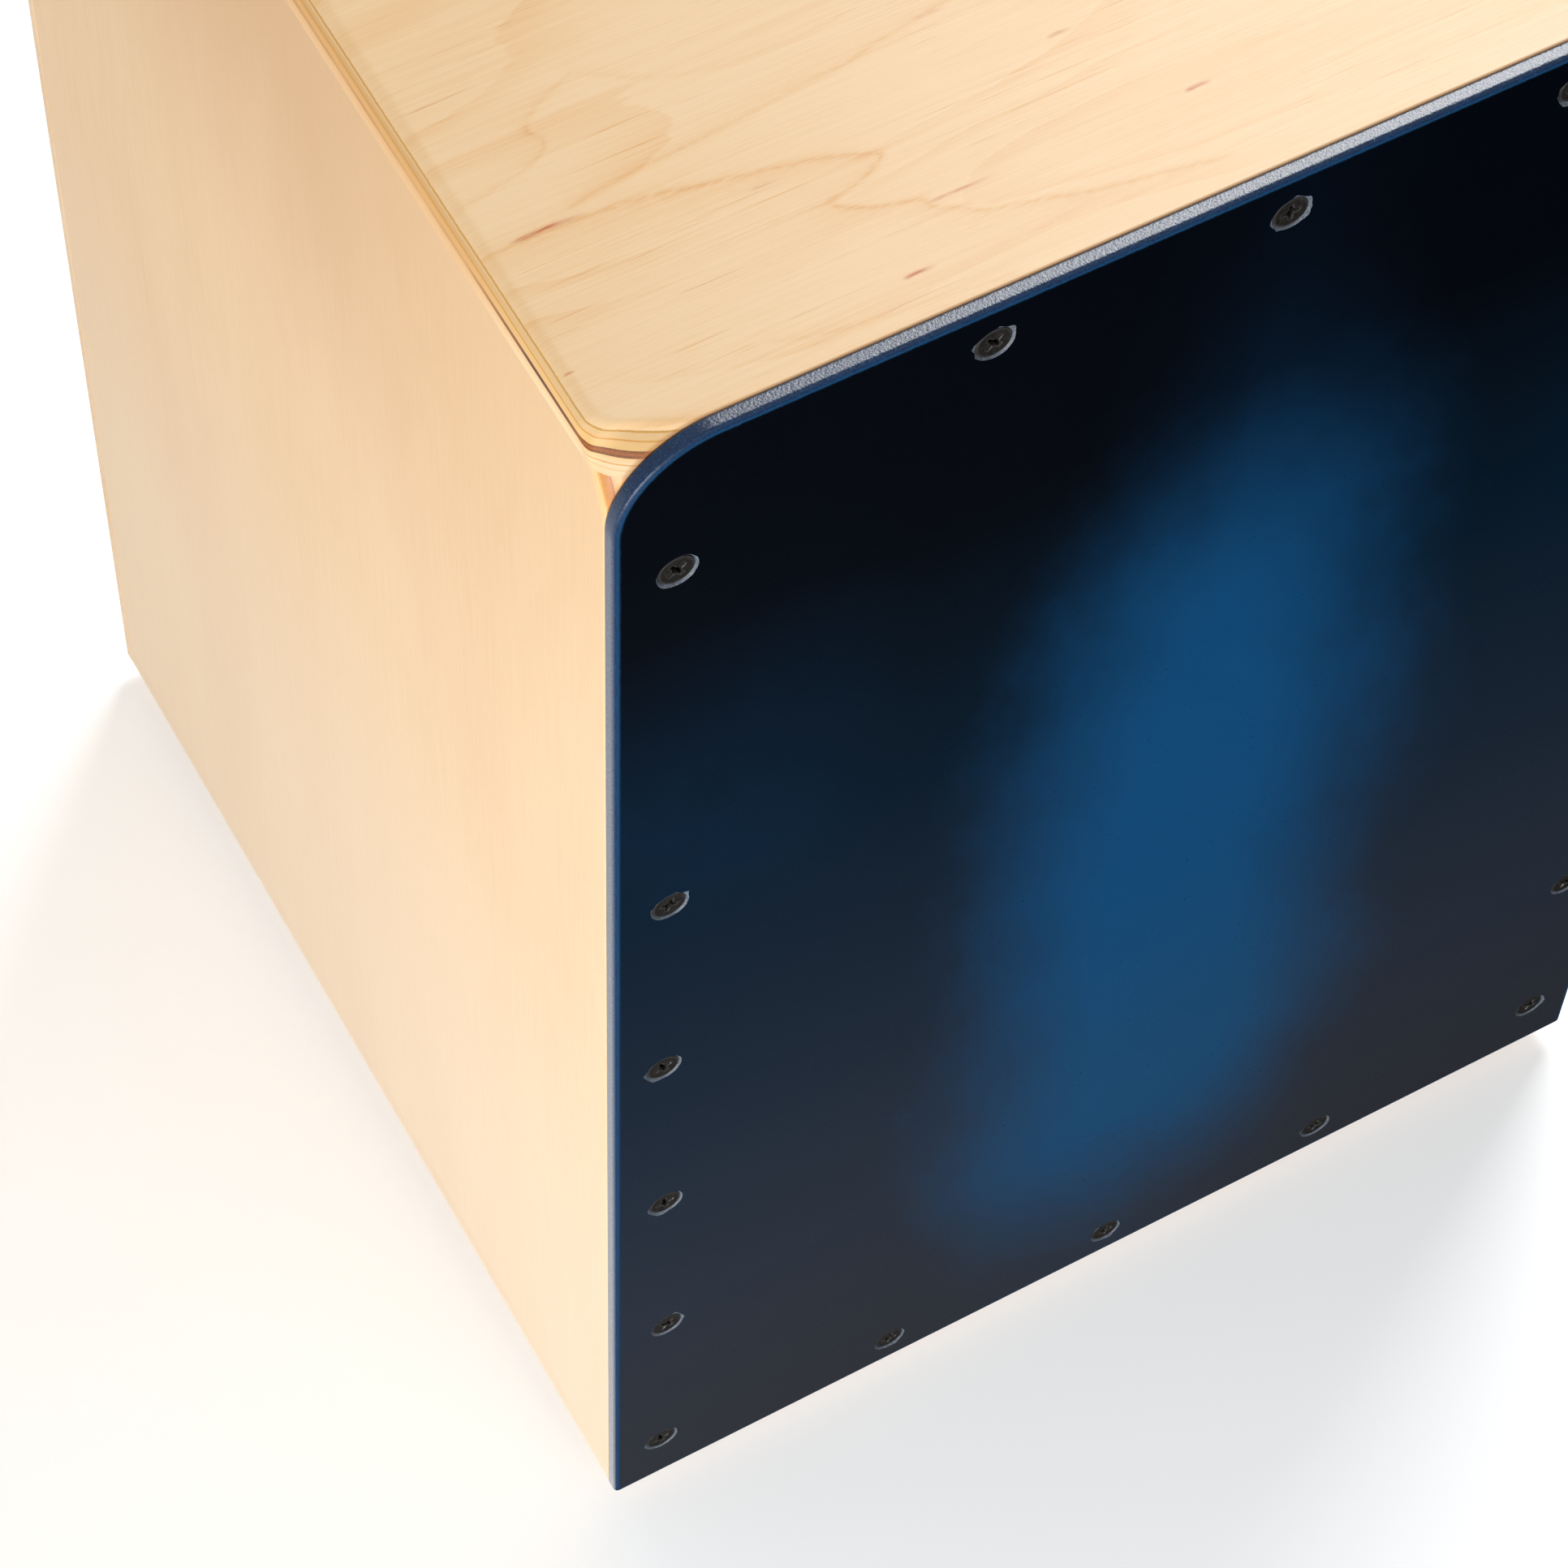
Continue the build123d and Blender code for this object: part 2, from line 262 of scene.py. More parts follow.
    def finish(self, colour=None, roughness=None, normal=None, metallic=None, coat_normal=None):
        for k, v in (("Base Color", colour), ("Roughness", roughness), ("Normal", normal),
                     ("Metallic", metallic), ("Coat Normal", coat_normal)):
            if v is not None:
                self.put(self.bsdf.inputs[k], v)
        return self.mat


def lin(c):
    return c / 12.92 if c <= 0.04045 else ((c + 0.055) / 1.055) ** 2.4


def paint(r, g, b, k=1.0):
    """A colour given as 0-255 display values, as a base colour."""
    return tuple(k * lin(v / 255.0) for v in (r, g, b))


# the blacks grow lighter from BLACK_TOP down to BLACK_FOOT, and BLUE_LOW is greyer than BLUE_HIGH: a painted reflection
# of the pale floor in the lacquer
BLACK_TOP, BLACK_HIGH, BLACK_MID = paint(1, 4, 11), paint(1, 20, 36), paint(17, 30, 45)
BLACK_LOW, BLACK_FOOT = paint(30, 38, 51), paint(36, 39, 46)
BLUE_HIGH, BLUE_MID, BLUE_LOW = paint(0, 61, 103), paint(0, 61, 102), paint(10, 62, 99)
WOOD_K = 0.80     # light on a white card is a little over 1, so wood colours are set under it


def wood(r, g, b):
    return paint(r, g, b, WOOD_K)


# ------------------------------------------------------------------ wood
# growth lines drawn on the seat's veneer: (x from the left edge, y behind the striking plate's face)
LINE_A = [(7, 56.6), (34.5, 55), (49.5, 51.9), (62, 49.4), (72, 46.9), (78.3, 44.4), (81.5, 42.8), (79.5, 40.6),
          (74.5, 38.4), (67.6, 36.6), (69.5, 34.4), (74.5, 31.9), (82.8, 29.4), (84.0, 26.9), (88.3, 24.4),
          (92, 21.8), (99.5, 19.6), (105.8, 18.0), (112, 16.2), (122, 14.2), (132, 12.4), (141, 10.4)]
LINE_B = [(22, 58.9), (34.5, 60.6), (53.3, 61.9), (72, 63.8), (84.5, 64.8), (94.5, 66.9), (109.5, 69.4), (150, 76)]
LINE_C = [(3, 67.9), (13.3, 70), (22.5, 72.5), (25.6, 76.3), (23.9, 79.4), (27, 83.1), (33.3, 86.3), (38, 88.2)]
LINE_D = [(38, 88.0), (44.5, 83.8), (53.3, 78.8), (70, 75.5), (92, 76.0)]
LINE_E = [(40, 13.5), (47, 11.0), (58, 8.6), (70, 7.4), (90, 5.0)]
# (x0, x1, y, half width, strength) of short brown mineral streaks
STREAKS = [(7, 26, 56.7, 0.50, 1.0), (69.5, 78, 14.2, 0.42, 1.0), (82, 100, 27.9, 0.38, 0.65),
           (141, 148.5, 28.2, 0.45, 0.9), (2.5, 5.5, 24.6, 0.22, 0.8), (124, 131, 52.4, 0.5, 0.5),
           (29, 48, 31.0, 0.16, 0.35), (3, 22, 93.9, 0.2, 0.4), (54, 63, 46.4, 0.25, 0.35),
           (103, 112, 68.6, 0.5, 0.3), (4, 20, 36.4, 0.14, 0.3), (60, 82, 9.0, 0.14, 0.3)]


def veneer(g, along, across, deep, seed, rings=1.0, lines=1.0):
    """Plain-sliced pale veneer. Returns (tone, height): tone 0 is the palest wood, 1 a growth line."""
    wob = (g.noise((along * 0.011, across * 0.018, seed), detail=2) - 0.5) * 15.0
    q = g.noise((along * 0.0042, (across + wob) * 0.021, seed + 3.1), detail=1.0, rough=0.35)
    q = q + (g.noise((along * 0.05, across * 0.45, seed + 7.7), detail=2) - 0.5) * 0.012
    r = g.math("FRACT", q * 12.0)
    ring = g.step(r, 0.55, 0.965) * g.step(r, 0.965, 0.995, 1.0, 0.0)
    ring = ring * g.step(g.noise((along * 0.012, across * 0.03, seed + 1.7), detail=1), 0.38, 0.62, 0.15, 1.0)
    fibre = g.noise((along * 0.022, across * 1.5, deep * 1.5 + seed), detail=4, rough=0.62)
    fine = g.noise((along * 0.16, across * 7.5, deep * 7.5 + seed), detail=2, rough=0.6)
    broad = g.noise((along * 0.006, across * 0.030, seed + 5.5), detail=2)
    dash = g.step(g.noise((along * 0.055, across * 3.1, seed + 9.3), detail=1, rough=0.4), 0.66, 0.78)
    dash = dash * g.step(g.noise((along * 0.02, across * 0.06, seed + 4.4), detail=1), 0.42, 0.6)
    tone = ring * (0.22 * rings) + (fibre - 0.5) * 0.42 + (fine - 0.5) * 0.24 + (broad - 0.5) * 0.42 \
        + dash * (0.30 * lines)
    height = fibre * 0.55 + fine * 0.45 - dash * 0.5 - ring * 0.15
    return tone, height


def drawn_line(g, u, v, pts, flip=False, width=0.5, fade=2.2, reach=1.0):
    """Distance to a drawn growth line, made into a thin dark edge with a soft side."""
    if flip:
        pts = [(b, a) for a, b in pts]
        u, v = v, u
    us, vs = [p[0] for p in pts], [p[1] for p in pts]
    lo, hi, olo, ohi = min(us), max(us), min(vs) - 1, max(vs) + 1
    f0 = g.curve(u, pts, lo, hi, olo, ohi)
    f1 = g.curve(u + 0.8, pts, lo, hi, olo, ohi)
    slope = (f1 - f0) / 0.8
    s = (v - f0) / g.math("SQRT", slope * slope + 1.0)
    edge = g.bell(s, width * 2.0)
    side = g.math("EXPONENT", -g.absolute(s) / (fade * 1.3)) * g.step(s * (-1.0 if flip else 1.0), -0.6, 0.6)
    window = g.step(u, lo - 1.5, lo + 1.5) * g.step(u, hi - 1.5, hi + 1.5, 1.0, 0.0)
    return (edge * 0.32 + side * 0.44) * window * reach


WOOD_TONES = [(0.0, wood(255, 227, 186)), (0.30, wood(252, 215, 166)), (0.55, wood(246, 201, 145)),
              (0.78, wood(236, 176, 106)), (1.0, wood(214, 142, 70))]
SIDE_TONES = [(0.0, wood(255, 219, 170)), (0.30, wood(251, 207, 150)), (0.55, wood(245, 195, 135)),
              (0.78, wood(231, 172, 108)), (1.0, wood(203, 138, 76))]


def face_colour(g, tone, base=0.33, tones=None):
    return g.ramp(g.clamp(tone + base), tones or WOOD_TONES)


def ply_ramp(g, depth):
    """Edge of the 9 mm board, by depth below its face: veneers, glue lines and one dark ply."""
    pale, cream, glue = wood(255, 220, 172), wood(253, 207, 144), wood(236, 174, 84)
    amber = wood(247, 201, 128)
    stops = [(0.95, pale), (1.02, glue), (1.14, glue), (1.24, wood(255, 216, 160)), (2.15, wood(254, 208, 148)),
             (2.28, glue), (2.42, glue), (2.52, cream), (3.80, amber), (3.92, wood(128, 64, 28)),
             (4.50, wood(172, 98, 44)), (5.12, wood(110, 54, 20)), (5.26, cream), (6.30, pale), (6.42, glue),
             (6.54, glue), (6.66, wood(255, 223, 178)), (7.50, pale), (7.60, glue), (7.70, wood(255, 222, 174)),
             (8.90, wood(255, 220, 170))]
    return g.ramp(depth / 9.5, [(p / 9.5, c) for p, c in stops])


def seat_material():
    """Top board: veneer runs left to right; its edges show the plies."""
    g = Tree("seat_birch", Specular_IOR_Level=0.38, Coat_Weight=0.12, Coat_Roughness=0.18)
    u, v = g.x + X1, g.y - YF
    tone, height = veneer(g, g.x, g.y, 0.0, 2.3, rings=0.8, lines=1.0)
    drawn = drawn_line(g, u, v, LINE_A, flip=True, width=0.42, fade=2.6)
    drawn = drawn + drawn_line(g, u, v, LINE_B, width=0.40, fade=2.0, reach=0.75)
    drawn = drawn + drawn_line(g, u, v, LINE_C, flip=True, width=0.35, fade=2.0, reach=0.6)
    drawn = drawn + drawn_line(g, u, v, LINE_D, width=0.35, fade=1.8, reach=0.35)
    drawn = drawn + drawn_line(g, u, v, LINE_E, width=0.35, fade=1.8, reach=0.45)
    rag = g.noise((g.x * 0.35, g.y * 1.4, 4.0), detail=3, rough=0.6)
    drawn = drawn * g.step(rag, 0.25, 0.62, 0.45, 1.15)
    tone = tone + drawn * 0.46
    colour = face_colour(g, tone)
    wav = (g.noise((g.x * 0.10, 0.0, 3.0), detail=2) - 0.5) * 0.9
    streak = None
    for x0, x1, y0, w, k in STREAKS:
        ends = g.step(u, x0, x0 + 0.25 * (x1 - x0)) * g.step(u, x1 - 0.55 * (x1 - x0), x1, 1.0, 0.0)
        s = g.bell(v + wav - y0, w) * ends * k
        streak = s if streak is None else g.math("MAXIMUM", streak, s)
    streak = streak * g.step(g.noise((g.x * 0.25, g.y * 4.0, 8.0), detail=2), 0.28, 0.6, 0.35, 1.0)
    colour = g.mix(g.clamp(streak * 1.05), colour, wood(204, 104, 14))
    # plies along the edges
    depth = Z1 - g.z
    waver = (g.noise((g.x * 0.02, g.y * 0.02, 1.0), detail=2) - 0.5) * 0.35
    teeth = (g.noise((g.x * 0.5, g.y * 1.1, 6.0), detail=3, rough=0.7) - 0.5) * 0.30
    skin = g.step(depth, 1.3, 2.0, 1.0, 0.0)
    band = ply_ramp(g, depth + waver * 0.6 + teeth * (skin * 0.75 + 0.18))
    side = g.noise((g.x * 0.7, g.y * 0.05, depth * 5.0), detail=4, rough=0.65)
    endg = g.noise((g.x * 4.0, g.y * 4.0, depth * 4.0), detail=2, rough=0.7)
    band = g.scale(band, 0.86 + side * 0.16 + endg * 0.12)
    speck = g.noise((g.x * 3.2, g.y * 3.2, depth * 3.2), detail=4, rough=0.75)
    mid = g.step(depth, 3.85, 4.05) * g.step(depth, 5.05, 5.25, 1.0, 0.0)
    band = g.mix(mid * g.step(speck, 0.42, 0.62) * 0.42, band, wood(206, 134, 72))
    # the dark ply comes and goes along the side
    fade = g.step(g.noise((g.x * 0.006, g.y * 0.035, 11.0), detail=2, rough=0.6), 0.40, 0.60)
    dark = g.step(depth, 3.75, 4.0) * g.step(depth, 5.1, 5.3, 1.0, 0.0)
    front = g.step(v, 40.0, 62.0, 0.0, 1.0)
    band = g.mix(dark * front * (0.55 + fade * 0.35), band, wood(238, 188, 130))
    band = g.mix(dark * g.step(v, 12.0, 18.0) * (1.0 - front) * (0.35 + fade * 0.55), band, wood(96, 56, 48))
    # further back the upper plies of the edge turn warmer
    band = g.mix(g.step(v, 24.0, 70.0) * g.step(depth, 1.1, 2.0) * 0.45, band, wood(222, 160, 90))
    # painted shade: the ply band is darkened towards the striking plate, where the sanded corner faces the left lamp
    band = g.scale(band, g.step(v, 7.0, 15.0, 0.80, 1.0))
    edge = g.step(depth + teeth * 0.5, 0.82, 0.98)
    colour = g.mix(edge, g.scale(colour, 1.14), band)
    g.put(g.bsdf.inputs["Specular IOR Level"], 0.38 - edge * 0.18)
    g.put(g.bsdf.inputs["Coat Weight"], 0.12 - edge * 0.10)
    colour = g.mix(g.step(v, 4.0, 4.6, 0.55, 0.0), colour, wood(176, 112, 60))
    peel = g.noise((g.x * 0.8, g.y * 0.8, g.z * 0.8), detail=2)
    rough = 0.40 + (height - 0.5) * 0.16 + edge * 0.08 + (peel - 0.5) * 0.06
    n = g.bump(height, 0.045, 0.55)
    n = g.bump(side + endg * 0.6, 0.05, 0.35, n)
    return g.finish(colour, rough, n)


def panel_material(name, seed, grain="z", flat="x", edge_at=X1, ply=True, base=0.30, rings=0.35, tones=None):
    """Side, bottom or back board. Its veneer runs along `grain`; depth is measured from |flat| = edge_at."""
    g = Tree(name, Specular_IOR_Level=0.5, Coat_Weight=0.45, Coat_Roughness=0.28)
    ax = {"x": g.x, "y": g.y, "z": g.z}
    across = ax[({"x", "y", "z"} - {grain, flat}).pop()]
    # opposite boards come from different sheets
    sheet = g.step(ax[flat], -1.0, 1.0, 0.0, 37.0) if flat != "z" else 0.0
    tone, height = veneer(g, ax[grain] + sheet * 3.0, across + sheet, 0.0, seed, rings=rings, lines=0.7)
    colour = face_colour(g, tone, base, tones)
    side = g.noise((g.x * 3.0, g.y * 3.0, g.z * 0.6), detail=4, rough=0.65)
    edge = 0.0
    if ply:
        depth = edge_at - (g.absolute(ax[flat]) if flat != "z" else ax[flat])
        teeth = (g.noise((across * 1.1, ax[grain] * 0.4, seed), detail=3, rough=0.7) - 0.5) * 0.30
        stops = [(0.66, wood(252, 214, 158)), (0.74, wood(240, 182, 84)), (0.90, wood(232, 168, 76)),
                 (1.05, wood(214, 142, 62)), (2.30, wood(202, 126, 52)), (2.42, wood(150, 86, 36)),
                 (2.60, wood(222, 156, 84)), (3.90, wood(236, 180, 108)), (4.02, wood(233, 180, 92)), (4.15, wood(226, 158, 88)),
                 (5.30, wood(214, 146, 84)), (5.42, wood(238, 184, 100)), (5.55, wood(252, 218, 164)),
                 (6.70, wood(251, 214, 158)), (6.85, wood(236, 182, 92)), (7.0, wood(238, 186, 120)),
                 (8.0, wood(236, 184, 120)), (8.1, wood(252, 220, 172))]
        band = g.ramp((depth + teeth) / 9.5, [(p / 9.5, c) for p, c in stops])
        streaky = g.noise((g.x * 2.6, g.y * 2.6, g.z * 0.25), detail=3, rough=0.7)
        band = g.scale(band, 0.62 + side * 0.36 + streaky * 0.36)
        edge = g.step(depth + teeth, 0.58, 0.70) * g.step(depth, 8.7, 8.9, 1.0, 0.0)
        drift = (g.noise((g.x * 0.01, g.y * 0.02, g.z * 0.008), detail=2) - 0.5) * 120.0
        # painted shade: high up and towards the back the board is painted warmer and darker, where less light reaches
        # it
        painted_shade_high_back = g.step(g.z + drift * 0.5, 300.0, 480.0) * g.step(g.y + drift * 0.4, -130.0, 20.0, 0.25, 1.0)
        colour = g.mix(painted_shade_high_back * 0.66, colour, wood(212, 152, 72))
        # painted light: low down the board is painted paler, where the floor throws light up onto it
        colour = g.mix(g.step(g.z + drift * 0.5, 320.0, 110.0, 0.0, 0.38), colour, wood(255, 228, 190))
        colour = g.mix(edge, colour, band)
    peel = g.noise((g.x * 0.8, g.y * 0.8, g.z * 0.8), detail=2)
    rough = 0.42 + (height - 0.5) * 0.16 + (peel - 0.5) * 0.06
    if ply:
        rough = rough + edge * 0.10
    n = g.bump(height, 0.05, 0.55)
    return g.finish(colour, rough, n)


def pine_material():
    """Bare planed strips and blocks inside the box."""
    g = Tree("inner_pine", Specular_IOR_Level=0.35)
    wob = g.noise((g.x * 0.01, g.y * 0.05, g.z * 0.01), detail=2) * 6.0
    ring = g.math("FRACT", (g.y * 0.42 + g.absolute(g.x) * 0.05 + wob * 0.4))
    late = g.step(ring, 0.35, 0.95)
    fibre = g.noise((g.x * 0.5, g.y * 5.0, g.z * 0.5), detail=4, rough=0.65)
    fuzz = g.noise((g.x * 2.5, g.y * 2.5, g.z * 2.5), detail=3)
    colour = g.ramp(g.clamp(late * 0.6 + fibre * 0.5 - 0.1), [(0.0, wood(240, 208, 160)), (0.5, wood(226, 180, 120)),
                                                             (1.0, wood(196, 136, 78))])
    return g.finish(g.scale(colour, 0.92 + fuzz * 0.12), 0.62 + fuzz * 0.15, g.bump(fibre + fuzz * 0.4, 0.12, 0.5))


# ------------------------------------------------------------------ lacquer on the striking plate
def burst_colour(g):
    """Black lacquer with a blue cloud down the middle, brushed in soft strokes."""
    w = g.z - Z0
    cloud = g.noise((g.x * 0.016 + w * 0.004, 3.0, w * 0.011), detail=4, rough=0.58)
    wisp = g.noise((g.x * 0.05 + w * 0.02, 5.0, w * 0.022 - g.x * 0.012), detail=4, rough=0.62)
    brush = g.noise((g.x * 0.10 + w * 0.07, 7.0, w * 0.10 - g.x * 0.06), detail=3, rough=0.6)
    sway = (cloud - 0.5) * 34.0 + (wisp - 0.5) * 22.0 + (brush - 0.5) * 7.0
    half = g.curve(w, [(0, 44), (60, 52), (120, 56), (200, 53), (280, 50), (330, 45), (360, 39), (390, 30), (420, 22),
                       (465, 16)], 0, 465, 0, 60)
    r = g.absolute(g.x - 2.0) + sway - half
    core = g.step(r, -46.0, 24.0, 1.0, 0.0)
    rise = g.curve(w + (cloud - 0.5) * 36.0 + (wisp - 0.5) * 16.0,
                   [(0, 1), (285, 1), (315, 0.94), (335, 0.80), (355, 0.58), (375, 0.34), (395, 0.18), (420, 0.09), (465, 0.03)],
                   0, 465, 0, 1)
    fall = g.step(w + (wisp - 0.5) * 30.0, 2.0, 92.0, 0.12, 1.0)
    core = core * rise * fall
    # fainter bloom towards each side edge
    far = g.bell(w - 338.0 + (cloud - 0.5) * 50.0, 50.0) * g.step(g.absolute(g.x), 74.0, 120.0, 0.0, 1.0)
    far = far * g.step(cloud, 0.34, 0.60, 0.45, 1.0) * 0.10
    m = g.clamp(core * (1.0 + (wisp - 0.5) * 0.30 + (brush - 0.5) * 0.10) + far)
    # the black is painted lighter towards the foot of the plate and the blue greyer with it: a painted reflection of
    # the pale floor in the lacquer
    black = g.ramp(w / 465.0, [(0.0, BLACK_FOOT), (0.22, BLACK_LOW), (0.43, BLACK_MID), (0.65, BLACK_HIGH),
                               (0.86, BLACK_TOP), (1.0, BLACK_TOP)])
    blue = g.ramp(w / 465.0, [(0.0, BLUE_LOW), (0.24, BLUE_LOW), (0.42, BLUE_MID), (0.60, BLUE_HIGH), (1.0, BLUE_HIGH)])
    return g.mix(m, black, blue), wisp, m


def plate_face_material():
    g = Tree("burst_lacquer", Specular_IOR_Level=0.15)
    colour, wisp, m = burst_colour(g)
    inset = g.attribute("inset")
    rag = g.noise((g.x * 1.6, g.y * 1.6, g.z * 1.6), detail=4, rough=0.7)
    fringe = g.step(inset + (rag - 0.5) * 1.3, 1.30, 1.75, 1.0, 0.0)
    colour = g.mix(fringe * 0.85, colour, (0.0012, 0.030, 0.085))
    grain = g.noise((g.x * 2.2, 0.0, g.z * 0.10), detail=4, rough=0.65)
    peel = g.noise((g.x * 0.55, 0.0, g.z * 0.55), detail=2)
    rough = 0.30 + (peel - 0.5) * 0.12 + fringe * 0.1 + (wisp - 0.5) * 0.05
    n = g.bump(grain, 0.03, 0.35)
    n = g.bump(peel, 0.08, 0.30, n)
    return g.finish(colour, rough, n)


def plate_edge_material():
    """The plate's sprayed edge: a fine hammered texture that catches the light."""
    g = Tree("edge_lacquer", Specular_IOR_Level=0.62, Coat_Weight=0.30, Coat_Roughness=0.18)
    inset = g.attribute("inset")
    pits = g.cells((g.x, g.y, g.z), scale=1.7, feature="SMOOTH_F1", smooth=0.4)
    grit = g.noise((g.x * 2.6, g.y * 2.6, g.z * 2.6), detail=4, rough=0.72)
    rag = g.noise((g.x * 1.6, g.y * 1.6, g.z * 1.6), detail=4, rough=0.7)
    tint = g.noise((g.x * 0.12, g.y * 0.12, g.z * 0.12), detail=2)
    colour = g.ramp(grit, [(0.30, (0.0002, 0.0070, 0.028)), (0.50, (0.0003, 0.0200, 0.070)),
                           (0.62, (0.0010, 0.0360, 0.105)), (0.74, (0.03, 0.13, 0.22))])
    colour = g.scale(colour, 0.75 + tint * 0.5)
    # a ragged lighter blue along the rolled front edge
    roll_fringe = g.step(inset + (rag - 0.5) * 0.9, 0.62, 1.0)
    colour = g.mix(roll_fringe * 0.8, colour, (0.0015, 0.045, 0.120))
    back = g.step(g.y - YF, 3.30, 3.62)
    colour = g.mix(back * g.step(rag, 0.30, 0.55, 0.5, 1.0), colour, (0.055, 0.030, 0.018))
    rough = 0.24 + (grit - 0.5) * 0.40 + back * 0.3 + g.step(inset, 0.08, 0.5) * 0.26
    h = pits * 0.8 + grit * 1.1
    n = g.bump(h, 0.075, 0.55)
    roll = g.step(inset, 0.10, 0.45)
    g.put(g.bsdf.inputs["Specular IOR Level"], 0.62 - roll * 0.42)
    g.put(g.bsdf.inputs["Coat Weight"], 0.30 - roll * 0.27)
    return g.finish(colour, rough, n, coat_normal=n)


def countersink_material():
    """Bare, chipped rim of each screw hole in the plate."""
    g = Tree("chipped_rim", Specular_IOR_Level=0.6)
    chip = g.noise((g.x * 2.4, g.y * 2.4, g.z * 2.4), detail=4, rough=0.7)
    grit = g.noise((g.x * 8.0, g.y * 8.0, g.z * 8.0), detail=2)
    depth = g.y - YF
    colour = g.ramp(chip, [(0.30, (0.035, 0.043, 0.056)), (0.52, (0.085, 0.105, 0.135)), (0.70, (0.16, 0.19, 0.24))])
    # painted shade: the wall is darkened to near black deeper than about 1 mm into the hole, in the crevice under the
    # screw head
    colour = g.mix(g.step(depth, 0.5, 1.1), colour, (0.012, 0.011, 0.011))
    return g.finish(g.scale(colour, 0.8 + grit * 0.4), 0.36 + chip * 0.25, g.bump(chip + grit * 0.5, 0.10, 0.7))


def plate_back_material():
    """Unlacquered rear of the striking plate, thin brown-faced plywood."""
    g = Tree("plate_rear_veneer", Specular_IOR_Level=0.35)
    tone, height = veneer(g, g.z, g.x, 0.0, 14.0, rings=0.9)
    colour = g.ramp(g.clamp(tone + 0.4), [(0.0, wood(214, 170, 120)), (0.5, wood(190, 140, 92)), (1.0, wood(150, 100, 62))])
    return g.finish(colour, 0.6 + (height - 0.5) * 0.2, g.bump(height, 0.08, 0.5))


# ------------------------------------------------------------------ metals and rubber
def screw_material():
    """Dark phosphated steel. Attributes: recess is 1 inside the cross, where the colour is darkened as painted shade;
    wear is 1 on its lips and the rim, lighter steel that is partly scuffing and partly a painted glint.
    """
    g = Tree("dark_screw_steel", Metallic=0.78, Specular_IOR_Level=0.5)
    painted_recess_shade, wear = g.attribute("recess"), g.attribute("wear")
    mott = g.noise((g.x * 1.3, g.y * 1.3, g.z * 1.3), detail=4, rough=0.65)
    grit = g.noise((g.x * 7.0, g.y * 7.0, g.z * 7.0), detail=3, rough=0.6)
    colour = g.ramp(mott, [(0.30, (0.022, 0.021, 0.019)), (0.50, (0.042, 0.039, 0.035)), (0.72, (0.075, 0.070, 0.066))])
    # lighter steel on the cross's lips and the head's rim: partly scuffing, partly a painted glint
    rub_and_glint = g.clamp(wear * g.step(grit, 0.32, 0.62))
    colour = g.mix(rub_and_glint * 0.75, colour, (0.24, 0.23, 0.23))
    # painted shade: the cross recess is darkened nearly to black
    colour = g.scale(colour, 1.0 - painted_recess_shade * 0.92)
    rough = 0.40 + (grit - 0.5) * 0.24 - rub_and_glint * 0.10
    return g.finish(colour, rough, g.bump(grit + mott * 0.8, 0.05, 0.55))


def steel_material():
    """Bright drawn wire and stamped strips."""
    g = Tree("snare_steel", Metallic=0.95)
    draw = g.noise((g.x * 9.0, g.y * 9.0, g.z * 0.8), detail=3, rough=0.6)
    stain = g.noise((g.x * 0.15, g.y * 0.15, g.z * 0.15), detail=3)
    colour = g.ramp(stain, [(0.35, (0.55, 0.55, 0.54)), (0.65, (0.70, 0.69, 0.66))])
    colour = g.mix(g.step(stain, 0.60, 0.75) * 0.35, colour, (0.42, 0.36, 0.28))
    return g.finish(colour, 0.26 + (draw - 0.5) * 0.25, g.bump(draw, 0.02, 0.5))


def rubber_material():
    g = Tree("foot_rubber", Specular_IOR_Level=0.4)
    mould = g.noise((g.x * 1.4, g.y * 1.4, g.z * 1.4), detail=4, rough=0.7)
    fine = g.noise((g.x * 9.0, g.y * 9.0, g.z * 9.0), detail=2)
    dust = g.step(g.noise((g.x * 0.25, g.y * 0.25, g.z * 0.6), detail=4, rough=0.65), 0.50, 0.72)
    colour = g.ramp(mould, [(0.3, (0.010, 0.010, 0.010)), (0.7, (0.022, 0.022, 0.023))])
    colour = g.mix(dust * 0.10, colour, (0.30, 0.28, 0.25))
    return g.finish(colour, 0.62 + (fine - 0.5) * 0.2 + dust * 0.1, g.bump(mould + fine * 0.4, 0.06, 0.6))


MAT = {
    "seat": seat_material(),
    "side": panel_material("shell_birch", 21.0, "z", "x", X1, tones=SIDE_TONES),
    "base": panel_material("base_birch", 33.0, "x", "z", 0.0, ply=False),
    "back": panel_material("back_birch", 45.0, "z", "y", YB, ply=False, base=0.36, rings=0.9),
    "pine": pine_material(),
    "face": plate_face_material(),
    "edge": plate_edge_material(),
    "rim": countersink_material(),
    "rear": plate_back_material(),
    "screw": screw_material(),
    "steel": steel_material(),
    "rubber": rubber_material(),
}


# ------------------------------------------------------------------ mesh helpers
def make_piece(name, verts, faces, mats, nodes, body=BOX, face_mat=None, attrs=None, angle=32.0):
    me = bpy.data.meshes.new(name)
    me.from_pydata([(x * 0.001, y * 0.001, z * 0.001) for x, y, z in verts], [], faces)
    for k, values in (attrs or {}).items():
        a = me.attributes.new(k, "FLOAT", "POINT")
        a.data.foreach_set("value", np.array(values, np.float32))
    if face_mat is not None:
        me.polygons.foreach_set("material_index", np.array(face_mat, np.int32))
    for m in mats:
        me.materials.append(MAT[m])
    bm = bmesh.new()
    bm.from_mesh(me)
    bmesh.ops.recalc_face_normals(bm, faces=bm.faces)
    bm.to_mesh(me)
    bm.free()
    me.validate()
    me.shade_smooth()
    me.set_sharp_from_angle(angle=math.radians(angle))
    ob = bpy.data.objects.new(name, me)
    scene.collection.objects.link(ob)
    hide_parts(*nodes)
    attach(ob, body)
    return ob


